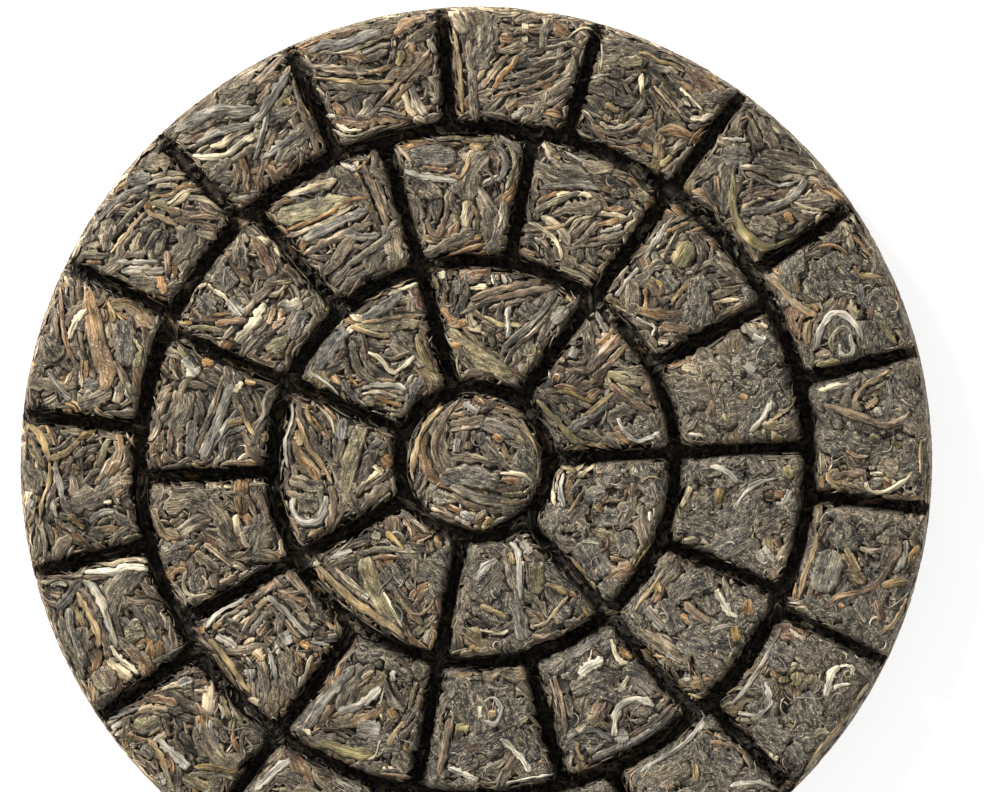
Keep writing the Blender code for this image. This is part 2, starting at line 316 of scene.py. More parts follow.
class Sheet:
    """One side of the cake, laid out flat: how deep each cell is covered, which cells leaves may lie on,
    how much leaves are wanted there, and the portion that it belongs to."""

    def __init__(self, reach, under):
        self.reach, self.under = reach, under
        self.guides = []
        self.width = int(2 * reach / CELL)
        self.depth = np.zeros(self.width * self.width, np.float32)
        x, y = np.meshgrid(*[(np.arange(self.width) + 0.5) * CELL - reach] * 2)
        self.places = np.stack([x.ravel(), y.ravel()], 1)
        walked = np.hypot(x, y).ravel()
        self.open = walked < reach - 1
        self.wanted = self.open * 1.0
        self.portion = np.full(len(walked), -1)
        if not under:
            on_skin = skin(self.places)
            radius = np.hypot(on_skin[:, 0], on_skin[:, 1])
            angle = np.arctan2(self.places[:, 1], self.places[:, 0])
            distance, _ = groove_distance(radius, angle)
            height = np.interp(walked, PROFILE_TOP[0], PROFILE_TOP[2])
            ring = np.searchsorted(RING_GROOVES, radius)
            turn = (angle - np.radians(np.take(FIRST_GROOVE, ring))) % (2 * np.pi)
            number = 100 * ring + (turn * np.take(PORTIONS, ring) / (2 * np.pi)).astype(int)
            self.portion = np.where((distance > 0.7 * WALL_RUN) & (height > GROOVE_FLOOR), number, -1)
            mouth = (walked > FACE_RADIUS + MOUTH_FROM) & (height > GROOVE_FLOOR + 0.5)
            self.open &= ~(mouth & (distance < 0.5 * WALL_RUN))
            on_floor = (distance < 0) & (walked < FACE_RADIUS - 3)
            self.wanted = self.open * np.where(on_floor, FLOOR_SHARE, 1.0) * ~(mouth & (distance < WALL_RUN))
            on_lip = (distance > WALL_RUN) & (distance < WALL_RUN + LIP_SHARE[0])
            self.wanted *= np.where(on_lip, LIP_SHARE[1], 1.0)

    def cells(self, place):
        """The numbers of the cells that places lie in."""
        column = np.clip(((place[..., 0] + self.reach) / CELL).astype(np.int32), 0, self.width - 1)
        row = np.clip(((place[..., 1] + self.reach) / CELL).astype(np.int32), 0, self.width - 1)
        return row * self.width + column

    def bare_places(self, rng, count, favour=None):
        """Random places that no leaf covers yet."""
        weight = np.where(self.depth < BARE, self.wanted, 0.0)
        if favour is not None:
            weight = weight * favour(self.places)
        total = np.cumsum(weight)
        found = np.searchsorted(total, rng.random(count) * total[-1])
        return self.places[found] + rng.uniform(-0.5, 0.5, (count, 2)) * CELL

    def bridges(self, places):
        """Which leaves would reach from one portion into another, where the mould cuts them through."""
        number = self.portion[self.cells(places)].reshape(len(places), -1)
        return number.max(1) != np.where(number < 0, number.max(1, keepdims=True), number).min(1)


def paces(sheet, at, facing, length):
    """One pace over the skin from each place, shortened where the skin is steep."""
    way = np.stack([np.cos(facing), np.sin(facing)], -1)
    slope = skin(at + way * PROBE, sheet.under) - skin(at, sheet.under)
    stretch = np.maximum(np.linalg.norm(slope, axis=-1) / PROBE, 0.15)
    return at + way * (length / stretch)[..., None]


def walk(sheet, leaves, stations):
    """Places along the middle of each leaf, tip to tip."""
    half = stations // 2
    pace = leaves["length"] / (stations - 1) / 2
    ways = []
    for way in (-1, 1):
        at, line = leaves["middle"], []
        for k in range(2 * half):
            walked = way * (k + 0.5) * pace
            wave = leaves["wave"] * (np.sin(leaves["swing"] * walked + leaves["phase"]) - np.sin(leaves["phase"]))
            facing = leaves["heading"] + leaves["bend"] * walked + wave + (np.pi if way < 0 else 0)
            at = paces(sheet, at, facing, pace)
            if k % 2:
                line.append(at)
        ways.append(line)
    return np.stack(ways[0][::-1] + [leaves["middle"]] + ways[1], 1)


def spread(sheet, line, left, right, across):
    """Places across each leaf at the given shares of its half widths, from its left edge to its right."""
    along = np.gradient(line, axis=1)
    facing = np.arctan2(along[..., 1], along[..., 0])
    to_left = facing + (-np.pi / 2 if sheet.under else np.pi / 2)
    found = {0.0: line}
    for way, half_width in ((1, left), (-1, right)):
        at, reached = line, 0.0
        for share in sorted(abs(s) for s in across if s * way < 0):
            at = paces(sheet, at, to_left + (0 if way > 0 else np.pi), half_width * (share - reached))
            reached = share
            found[-way * share] = at
    return np.stack([found[share] for share in across], 2)


def finer(count, factor):
    """Matrix that fills in between samples."""
    to = np.linspace(0, count - 1, (count - 1) * factor + 1)
    return np.maximum(0, 1 - np.abs(to[:, None] - np.arange(count)[None])).astype(np.float32)


def lay(sheet, leaves, stations, across, deepest, bridging=False):
    """Lays leaves one by one, each behind those already there; those pressed too deep are left out."""
    line = leaves["line"] if "line" in leaves else walk(sheet, leaves, stations)
    share = np.linspace(-1, 1, stations)[None]
    ends = np.where(share < 0, leaves["tip"][:, :1], leaves["tip"][:, 1:])
    outline = np.maximum(1 - np.abs(share) ** leaves["blunt"][:, None], 0) ** 0.6 * (1 - ends) + ends
    turned = np.sin(0.5 * share * (leaves["length"] * leaves["swing"])[:, None] + leaves["phase"][:, None]) ** 2
    outline = outline * (1 - leaves["twist"][:, None] * turned)
    uneven = 1 + leaves["ragged"][:, None, None] * leaves["jitter"]
    left = 0.5 * leaves["width"][:, None] * outline * uneven[..., 0]
    right = 0.5 * leaves["width"][:, None] * outline * uneven[..., 1]
    places = spread(sheet, line, left, right, across)
    cut = sheet.bridges(places) & (not bridging)
    thickness = leaves["thickness"][:, None] * np.sqrt(outline)
    cells = sheet.cells(places)
    along_more = finer(stations, max(1, int(np.ceil(np.max(leaves["length"]) / (stations - 1) / CELL))))
    across_more = finer(len(across), max(1, int(np.ceil(np.max(leaves["width"]) / (len(across) - 1) / CELL))))
    filled = np.einsum("ak,nkjc->najc", along_more, places.astype(np.float32), optimize=True)
    filled = np.einsum("bj,najc->nabc", across_more, filled, optimize=True)
    filled_cells = sheet.cells(filled)
    back = np.sqrt(np.maximum(0.1, 1 - (across_more @ np.array(across)) ** 2)).astype(np.float32)
    kept, depths = [], []
    for k in range(len(line)):
        if cut[k] or not sheet.open[cells[k]].all():
            continue
        depth = np.maximum(sheet.depth[cells[k]].max(1) - GIVE, leaves["lowered"][k])
        for _ in range(3):
            depth[1:-1] = np.maximum(depth[1:-1], 0.5 * (depth[:-2] + depth[2:]) - STIFF)
        if depth.mean() > deepest or depth.max() > TOO_DEEP * deepest:
            continue
        front, rear = along_more @ depth, along_more @ (depth + 0.9 * thickness[k])
        body = front[:, None] * (1 - back[None]) + rear[:, None] * back[None]
        where = filled_cells[k]
        sheet.depth[where] = np.maximum(sheet.depth[where], body)
        kept.append(k)
        depths.append(depth)
    kept = np.array(kept, int)
    laid = {key: value[kept] for key, value in leaves.items() if key != "line"}
    laid.update(
        places=places[kept], depth=np.array(depths).reshape(len(kept), stations), body=thickness[kept],
        left=left[kept], right=right[kept],
    )
    return laid


def gather(batches):
    """Joins what several rounds of laying gave."""
    return {key: np.concatenate([b[key] for b in batches]) for key in batches[0]}


def pick(laid, chosen):
    """The chosen ones of the leaves laid."""
    return {key: value[chosen] for key, value in laid.items()}


def closed_tubes(name, points):
    """A mesh of closed tubes, from places given by tube, by ring along it and around each ring."""
    count, stations, ring = points.shape[:3]
    base = (np.arange(count) * stations * ring)[:, None, None]
    k, j = np.arange(stations - 1)[None, :, None], np.arange(ring)[None, None, :]
    after = (j + 1) % ring
    quads = np.stack(
        [base + k * ring + j, base + k * ring + after, base + (k + 1) * ring + after, base + (k + 1) * ring + j], -1
    ).reshape(-1)
    first = base[:, 0] + np.arange(ring)[None, ::-1]
    last = base[:, 0] + (stations - 1) * ring + np.arange(ring)[None]
    corners = np.concatenate([quads, first.reshape(-1), last.reshape(-1)])
    sides = np.concatenate([np.full(len(quads) // 4, 4), np.full(2 * count, ring)])
    mesh = bpy.data.meshes.new(name)
    mesh.vertices.add(points.size // 3)
    mesh.vertices.foreach_set("co", points.reshape(-1))
    mesh.loops.add(len(corners))
    mesh.loops.foreach_set("vertex_index", corners)
    mesh.polygons.add(len(sides))
    mesh.polygons.foreach_set("loop_start", np.concatenate([[0], np.cumsum(sides)[:-1]]))
    mesh.update(calc_edges=True)
    mesh.polygons.foreach_set("use_smooth", np.ones(len(sides), bool))
    return mesh


def leaf_mesh(name, sheet, laid, across, section, ridges=0.3, ripple=0.0):
    """One piece of flattened leaves, ridged along their length, with what their finish needs: the
    place along and across the leaf in millimetres, and a tone for each leaf, how near its edge a
    place is, and how deep it lies."""
    places, across = laid["places"], np.array(across)
    count, stations, wide = places.shape[:3]
    on_skin = skin(places, sheet.under)
    step = np.array([PROBE, 0.0])
    slope_x = skin(places + step, sheet.under) - skin(places - step, sheet.under)
    slope_y = skin(places + step[::-1], sheet.under) - skin(places - step[::-1], sheet.under)
    out = np.cross(slope_x, slope_y) * (-1 if sheet.under else 1)
    out /= np.maximum(np.linalg.norm(out, axis=-1, keepdims=True), 1e-9)
    inside = np.hypot(on_skin[..., 0], on_skin[..., 1]) < STEEP_WITHIN
    steep = np.clip((STEEP_FROM - np.abs(out[..., 2])) / STEEP_RUN, 0, 1) * inside
    depth = laid["depth"][..., None] * np.ones(wide)
    depth = depth * (1 - steep) + np.minimum(depth, STEEP_DEPTH) * steep
    body = laid["body"][..., None]
    walked = np.linspace(-0.5, 0.5, stations)[None, :, None] * laid["length"][:, None, None]
    phase, swing = laid["phase"][:, None, None], laid["swing"][:, None, None]
    twist = 0.5 + 0.5 * np.sin(2.2 * swing * walked + phase + 2.5 * across)
    lean = 0.3 * across * np.sin(1.3 * swing * walked + 2 * phase)
    buckle = ripple * np.sin(1.9 * swing * walked + 3 * phase) * np.sin(2.8 * across + 2 * phase)
    edge = np.abs(across) ** 3
    relief = np.array(section) + ridges * twist * (1 - edge) + lean
    top = depth + body * np.maximum(relief, 0) + np.maximum(buckle, -depth)
    upper = on_skin - out * top[..., None]
    middle = wide // 2
    lower = on_skin[:, :, middle] - out[:, :, middle] * (depth[:, :, middle] + laid["body"] + ripple)[..., None]
    mesh = closed_tubes(name, np.concatenate([upper, lower[:, :, None]], 2) * MM)
    half = np.where(across < 0, laid["left"][..., None], laid["right"][..., None])
    grain = np.zeros((count, stations, wide + 1, 3), np.float32)
    grain[..., 0] = walked
    grain[..., :wide, 1] = half * across
    grain[..., 2] = (laid["seed"] * SEED_STEP)[:, None, None]
    traits = np.zeros_like(grain)
    traits[..., 0] = laid["tone"][:, None, None]
    traits[..., 1] = np.append(np.abs(across), UNDERSIDE_RIM)
    traits[..., 2] = laid["depth"][..., None]
    for attribute, values in (("grain", grain), ("traits", traits)):
        mesh.attributes.new(attribute, "FLOAT_VECTOR", "POINT").data.foreach_set("vector", values.reshape(-1))
    piece = bpy.data.objects.new(name, mesh)
    bpy.context.scene.collection.objects.link(piece)
    return piece


NEAR = 5.0                  # leaves this close lie the same way
EDGE_PROBE = 0.1            # step used to measure which way an edge runs
EDGE_WIDTH = 1.6
EDGE_SHARE = 0.75           # share of the leaves near an edge that lie along it
WALL_SHARE = 0.7            # share of those on the side wall that lie around the cake
BLUNTNESS = (2.0, 6.0)      # from pointed to square ended


def flow(sheet, place):
    """Leaves that were heaped together lie roughly the same way: as the nearest of those laid by their
    places does, or else in sweeps that change over a centimetre or two."""
    x, y = place[:, 0], place[:, 1]
    sweep = 1.9 * np.sin(x / 13.3 + 0.04 * y + 1.3) + 1.6 * np.sin(y / 11.2 - 0.05 * x - 0.7) + np.sin((x + y) / 17)
    if not sheet.guides:
        return sweep
    ways = np.concatenate([lines.reshape(-1, 2) for lines, _ in sheet.guides])
    along = np.concatenate([np.gradient(lines, axis=1).reshape(-1, 2) for lines, _ in sheet.guides])
    gap = np.hypot(x[:, None] - ways[None, :, 0], y[:, None] - ways[None, :, 1])
    nearest = gap.argmin(1)
    return np.where(gap.min(1) < NEAR, np.arctan2(along[nearest, 1], along[nearest, 0]), sweep)


def random_leaves(rng, sheet, middle, length, width, thickness, bend, stations, wave=0.25, tip=(0.08, 0.45),
                  ragged=0.2, lowered=0.10, loose=0.6, twist=0.5, sheaf=1):
    """Draws the sizes and shapes of as many leaves as there are places, or of a sheaf of like leaves
    side by side at each.  Near the edge of a portion, most of them were turned along the edge by the
    ridge of the mould, and on the side wall most lie around the cake."""
    count = len(middle)
    x, y = middle.T
    drawn = rng.uniform(*length, count) * rng.uniform(0.8, 1.0, count)
    heading = flow(sheet, middle) + rng.normal(0, loose, count)
    if not sheet.under:
        here, east, north = (
            groove_distance(np.hypot(x + dx, y + dy), np.arctan2(y + dy, x + dx))[0]
            for dx, dy in ((0, 0), (EDGE_PROBE, 0), (0, EDGE_PROBE))
        )
        beside = np.arctan2(east - here, here - north)
        at_edge = (here < WALL_RUN + EDGE_WIDTH) & (np.hypot(x, y) < FACE_RADIUS)
        turned = at_edge & (rng.random(count) < EDGE_SHARE)
        heading = np.where(turned, beside + rng.normal(0, 0.3, count), heading)
    around = np.arctan2(y, x) + np.pi / 2 + rng.normal(0, 0.45, count)
    on_wall = (np.hypot(x, y) > FACE_RADIUS + 1) & (rng.random(count) < WALL_SHARE)
    heading = np.where(on_wall, around, heading)
    leaves = {
        "middle": np.asarray(middle, float),
        "heading": heading,
        "length": drawn,
        "width": width[0] + (width[1] - width[0]) * rng.random(count) ** 1.6,
        "thickness": rng.uniform(*thickness, count),
        "bend": rng.normal(0, bend, count) / drawn,
        "wave": rng.uniform(0, wave, count),
        "swing": rng.uniform(0.3, 0.9, count),
        "twist": rng.uniform(0, twist, count),
        "phase": rng.uniform(0, 2 * np.pi, count),
        "tip": rng.uniform(*tip, (count, 2)),
        "blunt": rng.uniform(*BLUNTNESS, count),
        "ragged": np.full(count, ragged),
        "jitter": rng.normal(0, 1, (count, stations, 2)).clip(-2, 2),
        "lowered": rng.uniform(0, lowered, count),
        "tone": rng.random(count),
        "seed": rng.random(count),
    }
    if sheaf > 1:
        leaves = {key: np.repeat(value, sheaf, axis=0) for key, value in leaves.items()}
        rank = np.tile(np.arange(sheaf), count)
        shift = 0.75 * leaves["width"] * ((rank + 1) // 2) * np.where(rank % 2, 1, -1)
        aside = leaves["heading"] + np.pi / 2
        leaves["middle"] = leaves["middle"] + shift[:, None] * np.stack([np.cos(aside), np.sin(aside)], 1)
        leaves["heading"] = leaves["heading"] + rng.normal(0, 0.08, sheaf * count)
        leaves["length"] = leaves["length"] * rng.uniform(0.6, 1.0, sheaf * count)
        leaves["width"] = leaves["width"] * rng.uniform(0.6, 1.1, sheaf * count)
        leaves["tone"] = np.clip(leaves["tone"] + rng.normal(0, 0.14, sheaf * count), 0, 1)
        leaves["jitter"] = rng.normal(0, 1, (sheaf * count, stations, 2)).clip(-2, 2)
        leaves["seed"] = rng.random(sheaf * count)
    return leaves


FOLDS = (6.0, 0.62)         # length and width, in millimetres, of the creases,
FIBRES = (3.0, 0.22)        # the fibres,
WRINKLES = (1.6, 0.8)       # the wrinkles that hold dust,
WEB = (2.4, 1.3)            # the meshes of the web of wrinkles,
FADING = (5.0, 3.0)         # and the faded patches of a leaf
WEB_WARP = 2.4
DUST_PATCH = 9.0            # patches of the cake that are dustier than others
DUSTING = (0.25, 0.83)
# colour of the painted highlight on ridges and edges, and of the pale web of wrinkles
HIGHLIGHT_AND_WEB_COLOUR = "#dac9a9"


def leaf_material(name, palette, streaks=1.0, edge_highlight=0.25, roughness=0.68, wrinkles=1.0, web=0.5, relief=0.5,
                  fading=(0.42, 1.32)):
    """Dried leaf seen close: each leaf has its own tone from the palette, given as how common each colour is.
    Creases along it get painted shade and its fibres are pale, its ridges and edges get a painted highlight, dust
    in its fine wrinkles makes it mottled, and a web of fine pale wrinkles runs over its flat parts. Painted shade
    darkens it in the grooves, at its edges and back and where it lies deep, and painted light makes the lips and
    the side wall paler."""
    material, tree = new_material(name)
    grain = add_node(tree, "ShaderNodeAttribute", attribute_name="grain").outputs["Vector"]
    traits = add_node(tree, "ShaderNodeAttribute", attribute_name="traits").outputs["Vector"]
    tone, rim, depth = add_node(tree, "ShaderNodeSeparateXYZ", {"Vector": traits}).outputs
    place = add_node(tree, "ShaderNodeTexCoord").outputs["Object"]

    # patterns that run along each leaf, and two that run over the whole cake
    fade, folds, fibres, mottle, meshes = (
        add_node(tree, "ShaderNodeVectorMath", {0: grain, 1: (1 / long, 1 / wide, 1.0)}, operation="MULTIPLY")
        for long, wide in (FADING, FOLDS, FIBRES, WRINKLES, WEB)
    )
    fade, folds, fibres, mottle, dust, warp = (
        add_node(tree, "ShaderNodeTexNoise", {"Vector": pattern, "Scale": scale, **finish})
        for pattern, scale, finish in (
            (fade, 1.0, {"Detail": 1.0}), (folds, 1.0, {"Detail": 2.0, "Distortion": 1.4}),
            (fibres, 1.0, {"Detail": 2.0}), (mottle, 1.0, {"Detail": 3.0, "Roughness": 0.6, "Distortion": 0.6}),
            (place, 1 / (DUST_PATCH * MM), {"Detail": 1.0}), (place, 1 / (WEB_WARP * MM), {"Detail": 2.0}),
        )
    )
    meshes = add_node(
        tree, "ShaderNodeVectorMath", {0: warp.outputs["Color"], 1: (2.2, 2.2, 0.0), 2: meshes},
        operation="MULTIPLY_ADD",
    )
    meshes = add_node(tree, "ShaderNodeTexVoronoi", {"Vector": meshes}, feature="DISTANCE_TO_EDGE")

    # what each pattern does: a measure, the values between which it acts, and its share at both
    half_tone = 0.5 / len(palette)
    shares = {
        part: add_node(tree, "ShaderNodeMapRange", {
            "Value": value, "From Min": start, "From Max": end, "To Min": low, "To Max": high,
        })
        for part, value, start, end, low, high in (
            ("drift", fade.outputs["Color"], 0.3, 0.7, -half_tone, half_tone),
            # painted shade in the creases along each leaf
            ("creases", folds, 0.38, 0.5, 1 - 0.6 * streaks, 1.0),
            ("threads", fibres, 0.35, 0.65, 1 - 0.25 * streaks, 1 + 0.25 * streaks),
            ("wrinkled", mottle, 0.36, 0.66, 1 - 0.3 * wrinkles, 1 + 0.3 * wrinkles),
            ("dusty", dust, 0.3, 0.7, *DUSTING),
            ("faded", fade, 0.34, 0.66, *fading),
            ("veins", meshes, 0.02, 0.12, 1.0, 0.0),
            ("veined", mottle, 0.4, 0.62, 0.0, 0.55 * web),
            # painted highlight on the ridges between the creases
            ("ridge", folds, 0.55, 0.68, 0.0, 0.5 * streaks),
            # painted highlight along each leaf's edges
            ("edge", rim, 0.45, 0.85, 0.0, edge_highlight),
            # painted shade at a leaf's edges and back, where it tucks under others
            ("tucked", rim, 0.84, 1.2, 1.0, 0.1),
            # painted shade on leaves that lie deep, as occlusion would give
            ("sunk", depth, 0.1, 0.8, 1.1, 0.25),
        )
    }

    # the colour that the leaf has of its own
    tone = add_node(tree, "ShaderNodeMath", {0: tone, 1: shares["drift"]}, operation="ADD")
    ramp = add_node(tree, "ShaderNodeValToRGB", {"Fac": tone})
    stops, reached = ramp.color_ramp.elements, 0.0
    while len(stops) < len(palette):
        stops.new(0.5)
    total = sum(share for share, _ in palette)
    for k, (share, code) in enumerate(palette):
        stops[k].position, stops[k].color = (reached + 0.5 * share) / total, srgb(code)
        reached += share

    # painted shade in the creases, and fibres, wrinkles and dust, make it darker and lighter
    patch = shares["wrinkled"]
    for part in ("dusty", "faded"):
        patch = add_node(tree, "ShaderNodeMath", {0: patch, 1: shares[part]}, operation="MULTIPLY")
    light = patch
    for part in ("creases", "threads"):
        light = add_node(tree, "ShaderNodeMath", {0: light, 1: shares[part]}, operation="MULTIPLY")
    dark = add_node(
        tree, "ShaderNodeMix", {"Factor": 1.0, "A": ramp, "B": light}, data_type="RGBA", blend_type="MULTIPLY"
    )

    # the web of wrinkles is pale, and the ridges and the edges get a painted highlight
    veins = add_node(tree, "ShaderNodeMath", {0: shares["veins"], 1: shares["veined"]}, operation="MULTIPLY")
    highlight_and_web = add_node(tree, "ShaderNodeMath", {0: shares["ridge"], 1: shares["edge"]}, operation="ADD")
    highlight_and_web = add_node(tree, "ShaderNodeMath", {0: highlight_and_web, 1: patch, 2: veins}, operation="MULTIPLY_ADD")
    paler = add_node(
        tree, "ShaderNodeMix", {"Factor": highlight_and_web, "A": dark.outputs[2], "B": srgb(HIGHLIGHT_AND_WEB_COLOUR)}, data_type="RGBA"
    )

    # painted shade: in the grooves, at a leaf's edges and back where it tucks under another leaf, and where it lies
    # deep; with the painted highlight of the lips and the painted light of the side wall
    kept = painted_light_and_shade(tree)
    for part in ("tucked", "sunk"):
        kept = add_node(tree, "ShaderNodeMath", {0: kept, 1: shares[part]}, operation="MULTIPLY")
    shaded = add_node(
        tree, "ShaderNodeMix", {"Factor": 1.0, "A": paler.outputs[2], "B": kept}, data_type="RGBA",
        blend_type="MULTIPLY",
    )

    # wrinkles, fibres and veins stand out a little
    height = folds
    for pattern, share in ((mottle, 0.35 * wrinkles), (fibres, 0.3), (veins, 0.2)):
        height = add_node(tree, "ShaderNodeMath", {0: pattern, 1: share, 2: height}, operation="MULTIPLY_ADD")
    bump = add_node(tree, "ShaderNodeBump", {"Height": height, "Distance": relief * MM, "Strength": 1.0})
    surface = add_node(tree, "ShaderNodeBsdfPrincipled", {
        "Base Color": shaded.outputs[2], "Normal": bump, "Roughness": roughness, "Specular IOR Level": 0.35,
    })
    tree.links.new(surface.outputs[0], tree.nodes["Material Output"].inputs["Surface"])
    return material


scored_side = Sheet(118.0, under=False)
underside = Sheet(103.0, under=True)
rng = np.random.default_rng(11)

# ---- Pale ribbons ----
# Split stems and the backs of leaves, cream to pale grey.  They lie in front of all others, whole, as
# hooks, arcs and loops.  Each row is one leaf: its tone, its width and the places its middle runs through.


def lay_rows(rng, sheet, rows, tones, stations, across, widen=1.0, **shape):
    """Lays leaves where their rows say, with the rest of their shape drawn at random."""
    lines, lengths = [], []
    for row in rows:
        line = np.array(row[2:], float).reshape(-1, 2)
        for _ in range(3):
            cut = np.stack([0.75 * line[:-1] + 0.25 * line[1:], 0.25 * line[:-1] + 0.75 * line[1:]], 1)
            line = np.concatenate([line[:1], cut.reshape(-1, 2), line[-1:]])
        walked = np.concatenate([[0], np.cumsum(np.linalg.norm(np.diff(line, axis=0), axis=1))])
        even = np.linspace(0, walked[-1], stations)
        lines.append(np.stack([np.interp(even, walked, line[:, k]) for k in (0, 1)], 1))
        lengths.append(walked[-1])
    lines = np.array(lines)
    leaves = random_leaves(
        rng, sheet, lines[:, stations // 2], length=(1, 1), width=(1, 1), stations=stations, bend=0.0, **shape
    )
    leaves.update(
        line=lines, length=np.array(lengths), width=widen * np.array([row[1] for row in rows]),
        tone=(np.array([row[0] for row in rows]) + 0.5) / len(tones),
    )
    sheet.guides.append((lines, leaves["width"]))
    return lay(sheet, leaves, stations, across, PLACED_DEPTH, bridging=True)


